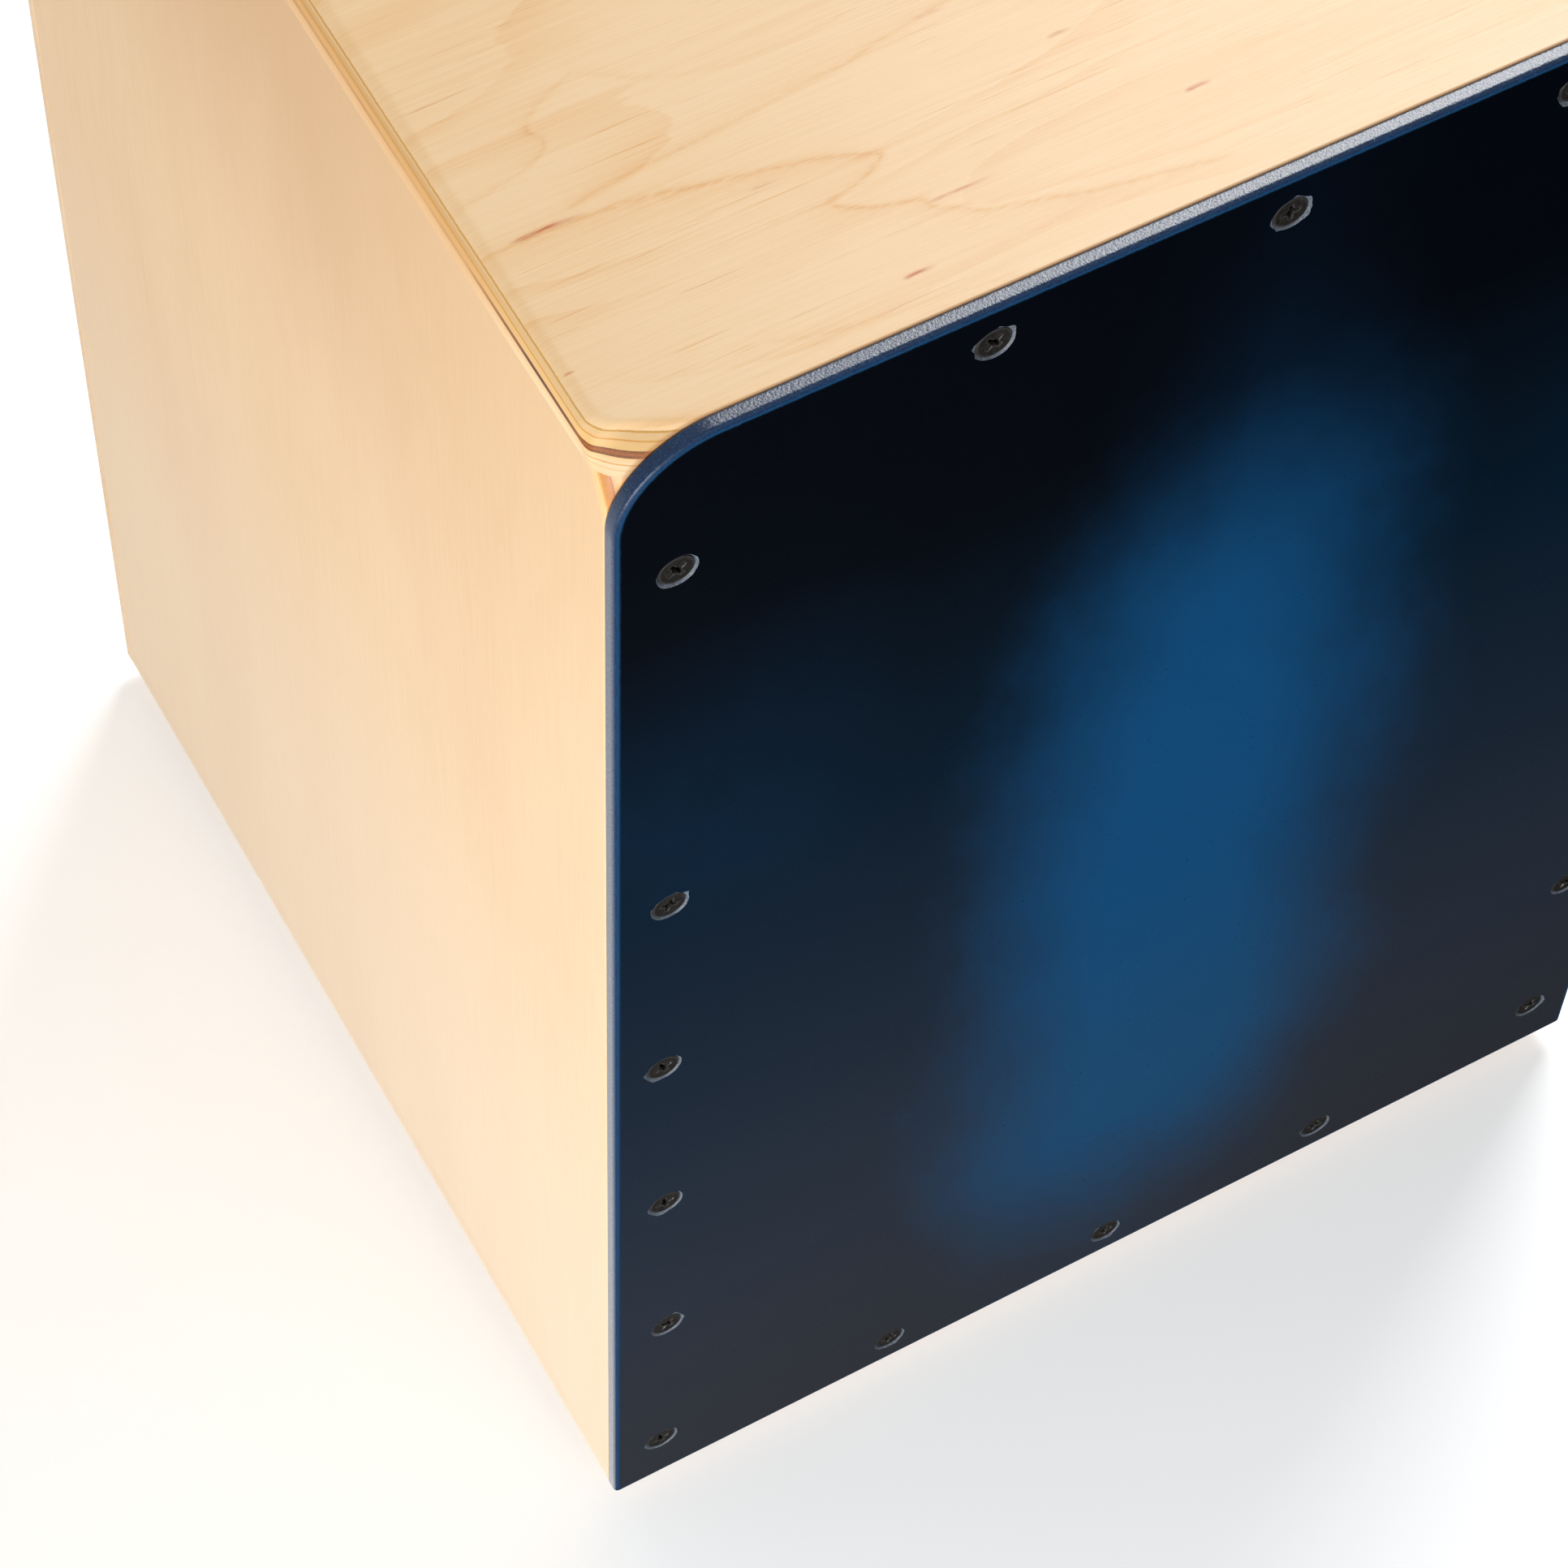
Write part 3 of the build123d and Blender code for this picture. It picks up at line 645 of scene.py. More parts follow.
def smooth_through(points):
    """Monotone smooth curve through falling (x, y) points, level at the last."""
    xs, ys = [p[0] for p in points], [p[1] for p in points]
    n = len(xs)
    d = [(ys[i + 1] - ys[i]) / (xs[i + 1] - xs[i]) for i in range(n - 1)]
    m = [d[0]] + [2 * d[i - 1] * d[i] / (d[i - 1] + d[i]) for i in range(1, n - 1)] + [0.0]

    def f(x):
        if x >= xs[-1]:
            return ys[-1]
        i = max(k for k in range(n - 1) if xs[k] <= x)
        h = xs[i + 1] - xs[i]
        t = (x - xs[i]) / h
        return (ys[i] * (1 + 2 * t) * (1 - t) ** 2 + h * m[i] * t * (1 - t) ** 2
                + ys[i + 1] * t * t * (3 - 2 * t) + h * m[i + 1] * t * t * (t - 1))
    return f


corner_radius = smooth_through(CORNER_SANDING)
STEPS = [0.0, 0.12, 0.3, 0.7, 1.2, 1.7, 2.2, 2.8, 3.4, 4.0, 4.6, 5.2, 5.8, 6.4, 7.0, 7.6, 8.2, 8.9, 9.6, 10.3, 10.9,
         11.6, 13.5, 18.0, 30.0, 55.0, 85.0, 115.0]
# the boards' end edges are eased, so a fine line shows between them and the plates
EASE = {0.0: 0.34, 0.12: 0.16, 0.3: 0.04}
STATIONS = [(YFI + d, corner_radius(d), EASE.get(d, 0.0)) for d in STEPS] \
    + [(YBI - d, corner_radius(d), EASE.get(d, 0.0)) for d in reversed(STEPS)]


def outline_part(R, e, d0, d1, n):
    """Points (in from the side plane, down from the top plane) along the rounded outline, from depth d0 up to d1."""
    r = max(R - e, 0.05)
    c = e + r
    t0 = math.asin(min(1.0, max(0.0, (c - d0) / r)))
    t1 = math.asin(min(1.0, max(0.0, (c - d1) / r)))
    l1 = max(0.0, d0 - max(d1, c))
    total = l1 + r * (t1 - t0)
    pts = []
    for i in range(n):
        s = total * i / (n - 1)
        if l1 > 0 and s <= l1:
            pts.append((e, d0 - s))
        else:
            t = t0 + (s - l1) / r
            pts.append((c - r * math.cos(t), c - r * math.sin(t)))
    return pts


def lofted(sections):
    n = len(sections[0])
    verts = [p for s in sections for p in s]
    faces = []
    for i in range(len(sections) - 1):
        for j in range(n):
            k = (j + 1) % n
            faces.append((i * n + j, i * n + k, (i + 1) * n + k, (i + 1) * n + j))
    faces.append(tuple(reversed(range(n))))
    faces.append(tuple(range((len(sections) - 1) * n, len(sections) * n)))
    return verts, faces


# ------------------------------------------------------------------ shell boards
def make_top():
    sections = []
    for y, R, e in STATIONS:
        left = [(-X1 + a, y, Z1 - d) for a, d in outline_part(R, e, PLY_T, e, 26)]
        a0 = left[-1][0]
        flat = [a0 + 0.4] + [a0 + 0.4 + (-2 * a0 - 0.8) * k / 8 for k in range(1, 8)] + [-a0 - 0.4]
        mid = [(x, y, Z1 - e) for x in flat]
        right = [(-x, yy, z) for x, yy, z in reversed(left)]
        low = [(X1 * 0.93 * (1 - k / 4), y, Z1 - PLY_T) for k in range(0, 9)]
        sections.append(left + mid + right + low)
    verts, faces = lofted(sections)
    return make_piece("top_plate_detail", verts, faces, ["seat"], ["top_plate"], angle=40)


def make_side(name, node, sx):
    sections = []
    zl = Z0 + PLY_T
    for y, R, e in STATIONS:
        out = [(-X1 + e, y, zl + (Z1 - 31.0 - zl) * k / 6) for k in range(6)]
        out += [(-X1 + a, y, Z1 - d) for a, d in outline_part(R, e, 31.0, PLY_T, 28)]
        inner = [(-X1 + PLY_T, y, Z1 - PLY_T - (BODY_H - 2 * PLY_T) * k / 6) for k in range(7)]
        sections.append([(-sx * x, yy, z) for x, yy, z in out + inner])
    verts, faces = lofted(sections)
    return make_piece(name, verts, faces, ["side"], [node], angle=40)


def make_bottom():
    sections = []
    for y, R, e in STATIONS:
        r = max(SHELL_FOOT_R - e, 0.05)
        left = [(-X1 + e, y, Z0 + PLY_T), (-X1 + e, y, Z0 + 5.0)]
        for i in range(9):
            t = math.radians(90 * i / 8)
            left.append((-X1 + e + r - r * math.cos(t), y, Z0 + e + r - r * math.sin(t)))
        right = [(-x, yy, z) for x, yy, z in reversed(left)]
        top = [(X1 * 0.93 * (1 - k / 4), y, Z0 + PLY_T) for k in range(0, 9)]
        sections.append(left + right + top)
    verts, faces = lofted(sections)
    return make_piece("bottom_plate_detail", verts, faces, ["base"], ["bottom_plate"], angle=40)


# ------------------------------------------------------------------ screwed-on plates
def plate_loop(e):
    """Closed outline of a plate, inset by e, always with the same number of points."""
    rt, rf = PLATE_CORNER_R - e, max(PLATE_FOOT_R - e, 0.02)
    ct, cf = e + rt, e + rf
    pts = []

    def arc(cx, cz, r, a0, a1, n):
        for i in range(n):
            t = math.radians(a0 + (a1 - a0) * i / n)
            pts.append((cx + r * math.cos(t), cz + r * math.sin(t)))

    def straight(ax, az, bx, bz, n):
        for i in range(n):
            pts.append((ax + (bx - ax) * i / n, az + (bz - az) * i / n))

    straight(-X1 + cf, Z0 + e, X1 - cf, Z0 + e, 26)
    arc(X1 - cf, Z0 + cf, rf, -90, 0, 6)
    straight(X1 - e, Z0 + cf, X1 - e, Z1 - ct, 40)
    arc(X1 - ct, Z1 - ct, rt, 0, 90, 32)
    straight(X1 - ct, Z1 - e, -X1 + ct, Z1 - e, 22)
    arc(-X1 + ct, Z1 - ct, rt, 90, 180, 32)
    straight(-X1 + e, Z1 - ct, -X1 + e, Z0 + cf, 40)
    arc(-X1 + cf, Z0 + cf, rf, 180, 270, 6)
    return pts


def fill(outer, holes, spacing=24.0):
    """Triangles of the flat region inside `outer` and outside every hole. Each hole is (cx, cz, loop)."""
    pts = [Vector(p) for p in outer]
    edges = [(i, (i + 1) % len(outer)) for i in range(len(outer))]
    for cx, cz, loop in holes:
        b = len(pts)
        pts += [Vector(p) for p in loop]
        edges += [(b + i, b + (i + 1) % len(loop)) for i in range(len(loop))]
    fixed = len(pts)
    xs = np.arange(-X1 + 12, X1 - 11, spacing)
    zs = np.arange(Z0 + 12, Z1 - 11, spacing)
    for x in xs:
        for z in zs:
            if abs(x) > X1 - 30 and z > Z1 - 30:
                continue
            if all(math.hypot(x - cx, z - cz) > math.hypot(*(loop[0][0] - cx, loop[0][1] - cz)) + 3.0
                   for cx, cz, loop in holes):
                pts.append(Vector((float(x), float(z))))
    v, _, f, ov, _, _ = delaunay_2d_cdt(pts, edges, [list(range(len(outer)))], 1, 1e-5)
    source = [o[0] if o else None for o in ov]
    tris = []
    for t in f:
        c = sum((v[i] for i in t), Vector((0.0, 0.0))) / len(t)
        inside = False
        for cx, cz, loop in holes:
            dx, dz = c.x - cx, c.y - cz
            n = len(loop)
            k = int(round((math.atan2(dz, dx) % math.tau) / math.tau * n)) % n
            if math.hypot(dx, dz) < math.hypot(loop[k][0] - cx, loop[k][1] - cz) * 0.999:
                inside = True
                break
        if not inside:
            tris.append(tuple(source[i] for i in t))
    return [(p.x, p.y) for p in pts], tris, fixed


def ragged(rng, base, chips, n):
    """Mouth radius round a screw hole, a little out of round with flakes broken off."""
    r = [base] * n
    ph = [rng.uniform(0, math.tau) for _ in range(4)]
    for i in range(n):
        t = math.tau * i / n
        r[i] += 0.05 * math.sin(2 * t + ph[0]) + 0.04 * math.sin(5 * t + ph[1]) + 0.03 * math.sin(11 * t + ph[2])
    for _ in range(chips):
        c, w, h = rng.uniform(0, math.tau), rng.uniform(0.10, 0.30), rng.uniform(0.15, 0.75)
        for i in range(n):
            a = (math.tau * i / n - c + math.pi) % math.tau - math.pi
            r[i] += h * math.exp(-(a / w) ** 2) * (0.85 + 0.15 * math.sin(17 * a + c))
    return [min(q, base + 1.0) for q in r]


def make_plate(name, node, y_face, inward, thick, screws, mats, sound_hole=False, seed=5):
    """mats: face, edge, hole wall, rear. screws: (x, z, play, chips)."""
    rng = random.Random(seed)
    verts, faces, fm, inset = [], [], [], []

    def y(depth):
        return y_face + inward * depth

    def add_ring(loop, depth, e):
        b = len(verts)
        verts.extend((x, y(depth), z) for x, z in loop)
        inset.extend([e] * len(loop))
        return b, len(loop)

    def bridge(a, b, m):
        (i, n), (j, _) = a, b
        for k in range(n):
            q = (k + 1) % n
            faces.append((i + k, i + q, j + q, j + k))
            fm.append(m)

    R = PLATE_EDGE_R
    rows = [(0.35, thick), (0.12, thick - 0.10), (0.02, thick - 0.30), (0.0, thick - 0.6), (0.0, thick - 1.2), (0.0, R + 0.3)]
    rows += [(R - R * math.cos(math.radians(a)), R - R * math.sin(math.radians(a))) for a in range(0, 91, 10)]
    rings = [add_ring(plate_loop(e), d, e) for e, d in rows]
    for a, b in zip(rings, rings[1:]):
        bridge(a, b, 1)
    flat = [(1.45, 0.0), (1.8, 0.0), (2.4, 0.0), (3.6, 0.0)]
    frings = [rings[-1]] + [add_ring(plate_loop(e), d, e) for e, d in flat]
    for a, b in zip(frings, frings[1:]):
        bridge(a, b, 0)

    n = 56
    hole_front, hole_back, walls = [], [], []
    for cx, cz, play, chips in screws:
        mouth = SCREW_HEAD_R + SCREW_SINK + 0.35 + play
        bore = SCREW_R + 0.15 + play
        rr = ragged(rng, mouth, chips, n)
        ang = [math.tau * i / n for i in range(n)]

        def circ(radii):
            return [(cx + q * math.cos(t), cz + q * math.sin(t)) for q, t in zip(radii, ang)]
        hole_front.append((cx, cz, circ(rr)))
        hole_back.append((cx, cz, circ([bore] * n)))
        walls.append([(circ([q - 0.06 for q in rr]), 0.06), (circ([max(q - 0.22, mouth - 0.16) for q in rr]), 0.13),
                      (circ([mouth - 0.30] * n), 0.34), (circ([mouth - 1.1] * n), 1.1),
                      (circ([bore + 0.05] * n), mouth - bore - 0.05), (circ([bore] * n), mouth - bore + 0.15)])
    if sound_hole:
        m = 144
        ang = [math.tau * i / m for i in range(m)]

        def big(r):
            return [(r * math.cos(t), SOUND_HOLE_Z + r * math.sin(t)) for t in ang]
        hole_front.append((0.0, SOUND_HOLE_Z, big(SOUND_HOLE_R + 1.65)))
        hole_back.append((0.0, SOUND_HOLE_Z, big(SOUND_HOLE_R + 0.3)))
        walls.append([(big(SOUND_HOLE_R + 1.35), 0.12), (big(SOUND_HOLE_R + 0.28), 1.25), (big(SOUND_HOLE_R + 0.05), 1.6),
                      (big(SOUND_HOLE_R), 2.0), (big(SOUND_HOLE_R), thick - 0.4), (big(SOUND_HOLE_R + 0.08), thick - 0.15)])

    def cap(ring, holes, depth, m, e):
        base, cnt = ring
        outer = [(verts[base + i][0], verts[base + i][2]) for i in range(cnt)]
        pts, tris, fixed = fill(outer, holes)
        idx = {}
        for i in range(cnt):
            idx[i] = base + i
        loops, b = [], cnt
        for cx, cz, loop in holes:
            start = len(verts)
            for i, (px, pz) in enumerate(loop):
                verts.append((px, y(depth), pz))
                inset.append(e)
                idx[b + i] = start + i
            loops.append((start, len(loop)))
            b += len(loop)
        for i in range(b, len(pts)):
            idx[i] = len(verts)
            verts.append((pts[i][0], y(depth), pts[i][1]))
            inset.append(e)
        for t in tris:
            faces.append(tuple(idx[i] for i in t))
            fm.append(m)
        return loops

    front_loops = cap(frings[-1], hole_front, 0.0, 0, 6.0)
    back_loops = cap(rings[0], hole_back, thick, 3, 6.0)
    for k, (lf, lb, w) in enumerate(zip(front_loops, back_loops, walls)):
        mid = [add_ring(loop, d, 9.0) for loop, d in w]
        seq = [lf] + mid + [lb]
        big_hole = sound_hole and k == len(walls) - 1
        for a, b in zip(seq, seq[1:]):
            bridge(a, b, 1 if big_hole else 2)
    return make_piece(name, verts, faces, mats, [node], face_mat=fm, attrs={"inset": inset}, angle=30)


# ------------------------------------------------------------------ turned pieces and screws
def frame_for(at, axis):
    """Matrix that carries local +Z onto axis."""
    z = Vector(axis).normalized()
    x = Vector((0, 0, 1)).cross(z) if abs(z.z) < 0.9 else Vector((1, 0, 0))
    x = (x - z * x.dot(z)).normalized()
    yv = z.cross(x)
    m = Matrix.Identity(4)
    for i in range(3):
        m[i][0], m[i][1], m[i][2], m[i][3] = x[i], yv[i], z[i], at[i]
    return m


def ease(t):
    t = min(1.0, max(0.0, t))
    return t * t * (3 - 2 * t)


class Store:
    def __init__(self):
        self.verts, self.faces, self.recess, self.wear = [], [], [], []

    def turned(self, m, rows, seg, recess=None, wear=None, close_top=True, close_end=True, depth=None):
        """Rings of (radius, z). depth(x, y) sinks the rings of the head."""
        base = len(self.verts)
        for k, (r, z) in enumerate(rows):
            for i in range(seg):
                t = math.tau * i / seg
                x, yv = r * math.cos(t), r * math.sin(t)
                dz, rc, wr = depth(x, yv, k) if depth else (0.0, 0.0, 0.0)
                self.verts.append(tuple(m @ Vector((x, yv, z - dz))))
                self.recess.append(rc)
                self.wear.append(wr)
        for k in range(len(rows) - 1):
            for i in range(seg):
                j = (i + 1) % seg
                a = base + k * seg
                self.faces.append((a + i, a + j, a + seg + j, a + seg + i))
        if close_top:
            dz, rc, wr = depth(0.0, 0.0, 0) if depth else (0.0, 0.0, 0.0)
            c = len(self.verts)
            self.verts.append(tuple(m @ Vector((0, 0, rows[0][1] - dz))))
            self.recess.append(rc)
            self.wear.append(wr)
            for i in range(seg):
                self.faces.append((c, base + (i + 1) % seg, base + i))
        if close_end:
            c = len(self.verts)
            self.verts.append(tuple(m @ Vector((0, 0, rows[-1][1]))))
            self.recess.append(0.0)
            self.wear.append(0.0)
            a = base + (len(rows) - 1) * seg
            for i in range(seg):
                self.faces.append((c, a + i, a + (i + 1) % seg))

    def screw(self, at, axis, turn, length=SCREW_L, r=SCREW_R, hr=SCREW_HEAD_R, rim=0.35, seg=72, pan=False):
        k = hr / 4.0

        def depth(x, yv, row):
            rr = math.hypot(x, yv)
            if row >= heads:
                return 0.0, 0.0, (0.8 if row < heads + 2 else 0.0)
            c, s = math.cos(turn), math.sin(turn)
            a, b = abs(x * c + yv * s), abs(-x * s + yv * c)
            arm = max(min(0.56 * k - 0.06 * a - b, 2.20 * k - a), min(0.56 * k - 0.06 * b - a, 2.20 * k - b))
            mm = max(arm, 1.12 * k - rr * 1.05)
            deep = (1.95 * k - 0.42 * rr) * ease((mm + 0.03) / (0.30 * k))
            # lip marks the cross's lips and the head's rim, later painted as lighter steel: partly scuffing, partly a
            # painted glint
            lip = math.exp(-((mm + 0.10 * k) / (0.14 * k)) ** 2) + 0.8 * math.exp(-((rr - hr + 0.15) / 0.22) ** 2)
            dish = 0.05 * (1 - (rr / hr) ** 2)
            if pan:
                dish = -0.7 * (1 - (rr / hr) ** 2) * 0.6
            return deep + dish, ease((mm - 0.02) / (0.26 * k)), min(1.0, lip)

        head = [(0.16 * i * k, 0.0) for i in range(1, 17)] + [(2.8 * k, 0.0), (3.1 * k, 0.0), (3.45 * k, 0.0), (hr - 0.22, 0.0), (hr - 0.12, 0.0)]
        heads = len(head)
        if pan:
            body = [(hr - 0.04, -0.06), (hr, -0.25), (hr, -1.9), (hr - 0.1, -2.0), (r, -2.0)]
        else:
            cone = hr - r
            body = [(hr - 0.04, -0.03), (hr, -0.11), (hr, -rim), (r + cone * 0.5, -rim - cone * 0.5), (r, -rim - cone)]
        body += [(r, -length + 3.2), (0.35, -length)]
        self.turned(frame_for(at, axis), head + body, seg, depth=depth)

    def piece(self, name, nodes, body=BOX, mats=("screw",), angle=28.0):
        return make_piece(name, self.verts, self.faces, list(mats), nodes, body=body,
                          attrs={"recess": self.recess, "wear": self.wear}, angle=angle)


def make_screws():
    rng = random.Random(77)
    s = Store()
    for dx, z in SIDE_SCREWS:
        for sx in (-1, 1):
            s.screw((sx * (X1 - dx), YF + SCREW_SINK, Z0 + z), (0, -1, 0), rng.uniform(0, math.pi / 2))
    for x in ROW_X:
        for z in (Z1 - ROW_EDGE, Z0 + ROW_EDGE):
            s.screw((x, YF + SCREW_SINK, z), (0, -1, 0), rng.uniform(0, math.pi / 2))
    s.piece("front_plate_screws_detail", ["front_plate_screws"])
    for side, sx in (("left", -1), ("right", 1)):
        s = Store()
        s.screw((sx * (X1 - CORNER_SCREW[0]), YF + SCREW_SINK, Z0 + CORNER_SCREW[1]), (0, -1, 0), 0.62 if sx < 0 else 1.2)
        s.piece(f"{side}_corner_screw_detail", [f"{side}_corner_screw"], body=f"{side}_tuning_screw")
    s = Store()
    for z in BACK_SIDE_Z:
        for sx in (-1, 1):
            s.screw((sx * (X1 - BACK_EDGE_X), YB - SCREW_SINK, Z0 + z), (0, 1, 0), rng.uniform(0, math.pi / 2))
    for x in BACK_ROW_X:
        for z in (Z1 - ROW_EDGE, Z0 + ROW_EDGE):
            s.screw((x, YB - SCREW_SINK, z), (0, 1, 0), rng.uniform(0, math.pi / 2))
    s.piece("back_plate_screws_detail", ["back_plate_screws"])
    bar_lo, bar_hi = (v * 1000 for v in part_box("snare_bar"))
    s = Store()
    for sx in (-1, 1):
        for dz in (7.0, 19.0):
            s.screw((sx * (X1 - PLY_T - 5.5), bar_hi.y - 0.2, bar_lo.z + dz), (0, 1, 0), rng.uniform(0, 1.5), length=28.0, seg=48)
    s.piece("snare_bar_screws_detail", ["snare_bar_screws"])
    s = Store()
    for side in ("left", "right"):
        lo, hi = (v * 1000 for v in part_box(f"{side}_snare_clip_plate"))
        for x in (lo.x + 4.0, hi.x - 4.0):
            s.screw((x, lo.y, lo.z + 7.0), (0, -1, 0), rng.uniform(0, 1.5), length=9.0, r=1.4, hr=2.6, rim=0.2, seg=40)
    s.piece("snare_clip_screws_detail", ["snare_clip_screws"])
    s = Store()
    for sy in (-1, 1):
        for sx in (-1, 1):
            s.screw((sx * FOOT_X, sy * FOOT_Y, 1.6), (0, 0, -1), rng.uniform(0, 1.5), length=13.2, hr=3.8, seg=48, pan=True)
    s.piece("foot_screws_detail", ["foot_screws"])


def make_feet():
    # sole, side and hollow of a moulded foot, with grip rings turned into the sole
    rows = [(5.2, 3.6), (5.2, 0.7), (5.35, 0.25), (5.8, 0.0)]
    for r in (7.2, 9.0, 10.8):
        rows += [(r, 0.0), (r + 0.15, 0.35), (r + 0.75, 0.35), (r + 0.9, 0.0)]
    rows += [(FOOT_R - 2.2, 0.0), (FOOT_R - 1.4, 0.18), (FOOT_R - 0.7, 0.6), (FOOT_R - 0.2, 1.3), (FOOT_R, 2.2),
             (FOOT_R - 0.28, 3.6), (FOOT_R - 1.1, 6.9), (FOOT_R - 1.5, 7.7), (FOOT_R - 1.9, 8.0)]
    for fb, sy in (("front", -1), ("rear", 1)):
        for lr, sx in (("left", -1), ("right", 1)):
            s = Store()
            m = Matrix.Translation((sx * FOOT_X, sy * FOOT_Y, 0.0))
            s.turned(m, rows, 72)
            s.piece(f"{fb}_{lr}_foot_detail", [f"{fb}_{lr}_foot"], mats=("rubber",), angle=40)


# ------------------------------------------------------------------ snares
def tube(verts, faces, pts, r, sides):
    pts = np.array(pts, float)
    tan = np.gradient(pts, axis=0)
    tan /= np.linalg.norm(tan, axis=1)[:, None]
    n = np.cross(tan[0], [0.3, 0.9, 0.2])
    n /= np.linalg.norm(n)
    base = len(verts)
    cs = [(math.cos(math.tau * k / sides), math.sin(math.tau * k / sides)) for k in range(sides)]
    for p, t in zip(pts, tan):
        n = n - t * np.dot(n, t)
        n /= np.linalg.norm(n)
        b = np.cross(t, n)
        for c, s in cs:
            verts.append(tuple(p + r * (c * n + s * b)))
    for i in range(len(pts) - 1):
        for k in range(sides):
            q = (k + 1) % sides
            a = base + i * sides
            faces.append((a + k, a + q, a + sides + q, a + sides + k))
    faces.append(tuple(base + k for k in reversed(range(sides))))
    faces.append(tuple(base + (len(pts) - 1) * sides + k for k in range(sides)))


def make_snares():
    """Each strand is a coiled wire, straight where it is soldered to its plate and strip."""
    for side in ("left", "right"):
        lo, hi = (v * 1000 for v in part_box(f"{side}_snare_wires"))
        cx = (lo.x + hi.x) / 2
        za, zb = lo.z + 0.3, hi.z - 0.3
        ya, yb = YFI + 5.8 - 0.8 - 1.1, YFI + 1.1 + 0.15
        verts, faces = [], []
        for i in range(10):
            x = cx + (i - 4.5) * 3.9
            rc, rw, pitch, per = 0.80, 0.27, 1.35, 11
            pts = []
            turns = (zb - za - 4.0) / pitch
            steps = int(turns * per)
            for k in range(5):
                z = za + 2.0 * k / 4 * 0.95
                pts.append((x + rc * 0.3 * k / 4, ya + (yb - ya) * (z - za) / (zb - za) + 0.2, z))
            for k in range(steps + 1):
                f = k / steps
                z = za + 2.0 + (zb - za - 4.0) * f
                t = math.tau * turns * f + 0.7 * i
                grow = min(1.0, 0.25 + k / per, 0.25 + (steps - k) / per)
                yc = ya + (yb - ya) * (z - za) / (zb - za)
                pts.append((x + rc * grow * math.cos(t), yc + rc * grow * math.sin(t), z))
            for k in range(1, 5):
                z = zb - 2.0 + 2.0 * k / 4
                pts.append((x + rc * 0.25 * (1 - k / 4), ya + (yb - ya) * (z - za) / (zb - za) + 0.2, z))
            tube(verts, faces, pts, rw, 6)
        make_piece(f"{side}_snare_wires_detail", verts, faces, ["steel"], [f"{side}_snare_wires"], angle=60)


def finish_cad_nodes():
    """Straight strips and blocks keep their CAD shape and get a finished material."""
    for ob in list(bpy.data.objects):
        n = ob.get("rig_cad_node")
        if not n or ob.type != "MESH":
            continue
        if "batten" in n or n == "snare_bar" or n.endswith("snare_block"):
            m = MAT["pine"]
        elif n.endswith("clip_plate") or n.endswith("end_strip"):
            m = MAT["steel"]
        else:
            continue
        if not ob.data.materials:
            ob.data.materials.append(m)
        for s in ob.material_slots:
            s.material = m


# ------------------------------------------------------------------ build
finish_cad_nodes()
make_top()
make_side("left_side_panel_detail", "left_side_panel", 1)
make_side("right_side_panel_detail", "right_side_panel", -1)
make_bottom()
front = []
for i, (dx, z) in enumerate(SIDE_SCREWS):
    front += [(-X1 + dx, Z0 + z, 0.0, 3), (X1 - dx, Z0 + z, 0.0, 2)]
front += [(x, Z1 - ROW_EDGE, 0.0, 7) for x in ROW_X] + [(x, Z0 + ROW_EDGE, 0.0, 3) for x in ROW_X]
front += [(sx * (X1 - CORNER_SCREW[0]), Z0 + CORNER_SCREW[1], 0.15, 1) for sx in (-1, 1)]
make_plate("front_plate_detail", "front_plate", YF, 1, FRONT_T, front, ["face", "edge", "rim", "rear"], seed=8)
rear = [(sx * (X1 - BACK_EDGE_X), Z0 + z, 0.0, 1) for z in BACK_SIDE_Z for sx in (-1, 1)]
rear += [(x, z, 0.0, 1) for x in BACK_ROW_X for z in (Z1 - ROW_EDGE, Z0 + ROW_EDGE)]
make_plate("back_plate_detail", "back_plate", YB, -1, BACK_T, rear, ["back", "back", "back", "back"],
           sound_hole=True, seed=9)
make_screws()
make_feet()
make_snares()


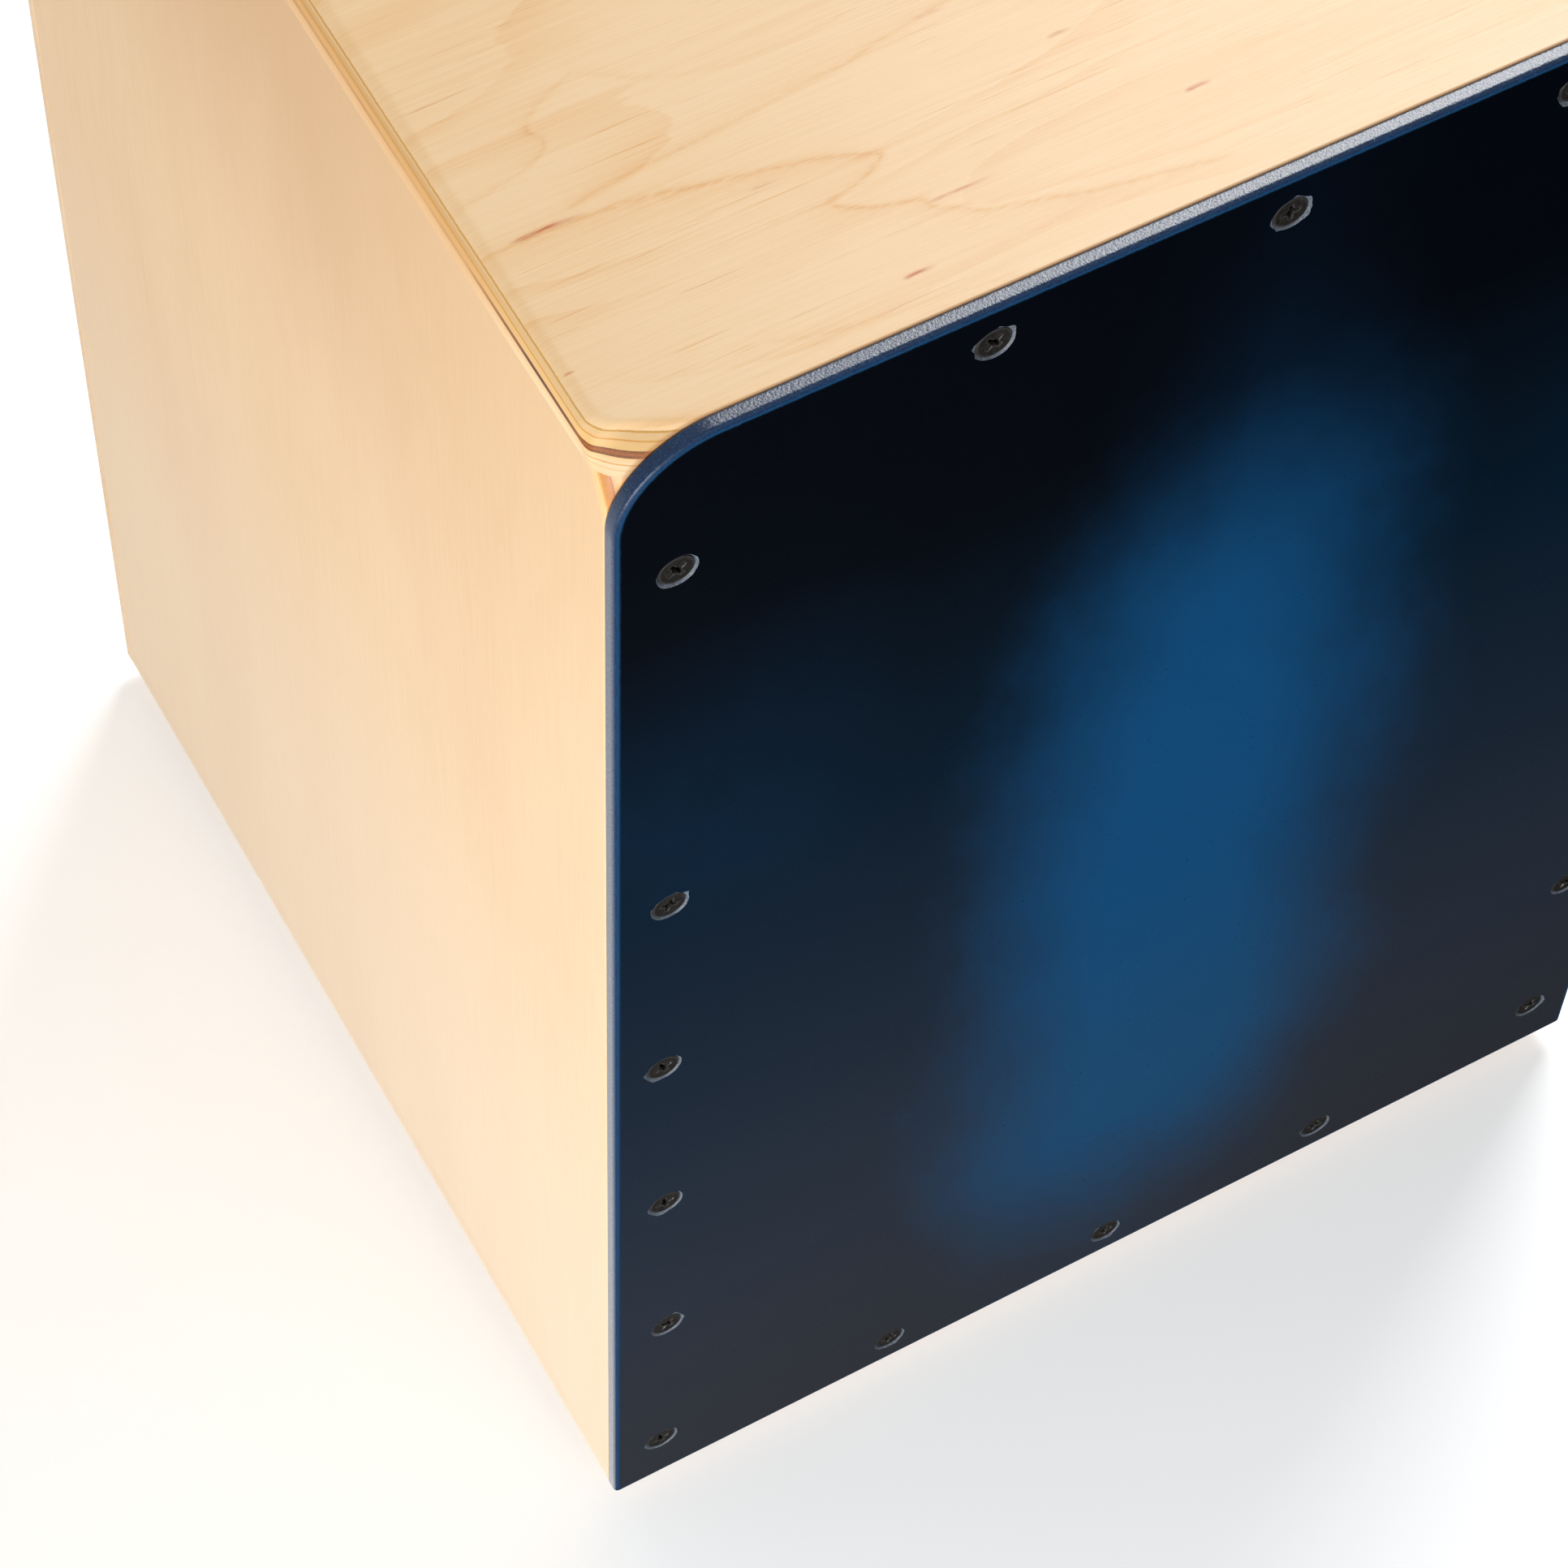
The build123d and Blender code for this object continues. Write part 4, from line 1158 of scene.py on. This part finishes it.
# ------------------------------------------------------------------ studio
def make_studio():
    g = Tree("studio_floor", Roughness=0.9, Specular_IOR_Level=0.1, Emission_Strength=0.26)
    tone = g.noise((g.x * 0.002, g.y * 0.002, 0.0), detail=2)
    g.bsdf.inputs["Emission Color"].default_value = (1.0, 1.0, 1.0, 1.0)
    g.finish(g.ramp(tone, [(0.3, (0.84, 0.85, 0.86)), (0.7, (0.87, 0.88, 0.89))]))
    me = bpy.data.meshes.new("studio_floor")
    s = 14.0
    me.from_pydata([(-s, -s, 0), (s, -s, 0), (s, s, 0), (-s, s, 0)], [], [(0, 1, 2, 3)])
    me.materials.append(g.mat)
    floor = bpy.data.objects.new("studio_floor", me)
    scene.collection.objects.link(floor)
    # reflections look past the table: to a dark room in front, to a bright wall low on the left
    floor.visible_glossy = False

    world = bpy.data.worlds.new("studio")
    world.use_nodes = True
    t = world.node_tree
    bg = t.nodes["Background"]
    co = t.nodes.new("ShaderNodeTexCoord")
    sep = t.nodes.new("ShaderNodeSeparateXYZ")
    t.links.new(co.outputs["Generated"], sep.inputs[0])

    def remap(sock, a, b, c, d):
        n = t.nodes.new("ShaderNodeMapRange")
        n.interpolation_type = "SMOOTHSTEP"
        for i, v in enumerate((None, a, b, c, d)):
            if v is not None:
                if isinstance(v, bpy.types.NodeSocket):
                    t.links.new(v, n.inputs[i])
                else:
                    n.inputs[i].default_value = v
        t.links.new(sock, n.inputs[0])
        return n.outputs[0]

    across = t.nodes.new("ShaderNodeMath")
    across.operation = "SUBTRACT"
    t.links.new(sep.outputs[1], across.inputs[0])
    t.links.new(sep.outputs[0], across.inputs[1])
    front = remap(sep.outputs[2], -0.84, -0.97, 0.006, 0.24)
    left = remap(sep.outputs[2], -0.80, -0.93, 0.70, 1.50)
    low = remap(across.outputs[0], -0.30, 0.30, front, left)
    full = remap(sep.outputs[2], -0.30, 0.05, low, 0.35)
    t.links.new(full, bg.inputs["Strength"])
    bg.inputs["Color"].default_value = (1.0, 0.995, 0.985, 1.0)
    scene.world = world

    def lamp(name, at, look, w, h, radiance, colour=(1, 1, 1)):
        d = bpy.data.lights.new(name, "AREA")
        d.shape, d.size, d.size_y = "RECTANGLE", w, h
        d.energy = radiance * math.pi * w * h
        d.color = colour
        ob = bpy.data.objects.new(name, d)
        scene.collection.objects.link(ob)
        ob.location = at
        ob.rotation_mode = "QUATERNION"
        ob.rotation_quaternion = (Vector(look) - Vector(at)).to_track_quat("-Z", "Y")

    lamp("softbox_rear", (1.27, 1.00, 2.25), (0.0, -0.05, 0.40), 1.00, 1.05, 12.8)
    lamp("softbox_left", (-0.82, -0.92, 0.44), (-0.10, -0.10, 0.22), 0.62, 0.62, 10.6)
    lamp("fill_front", (0.4, -2.4, 1.3), (0.0, 0.0, 0.25), 1.8, 1.4, 1.0)
    lamp("fill_back", (-0.9, 2.4, 1.0), (0.0, 0.0, 0.25), 1.6, 1.2, 0.9)
    scene.view_settings.view_transform = "Standard"
    scene.view_settings.look = "None"


make_studio()

bpy.context.view_layer.update()
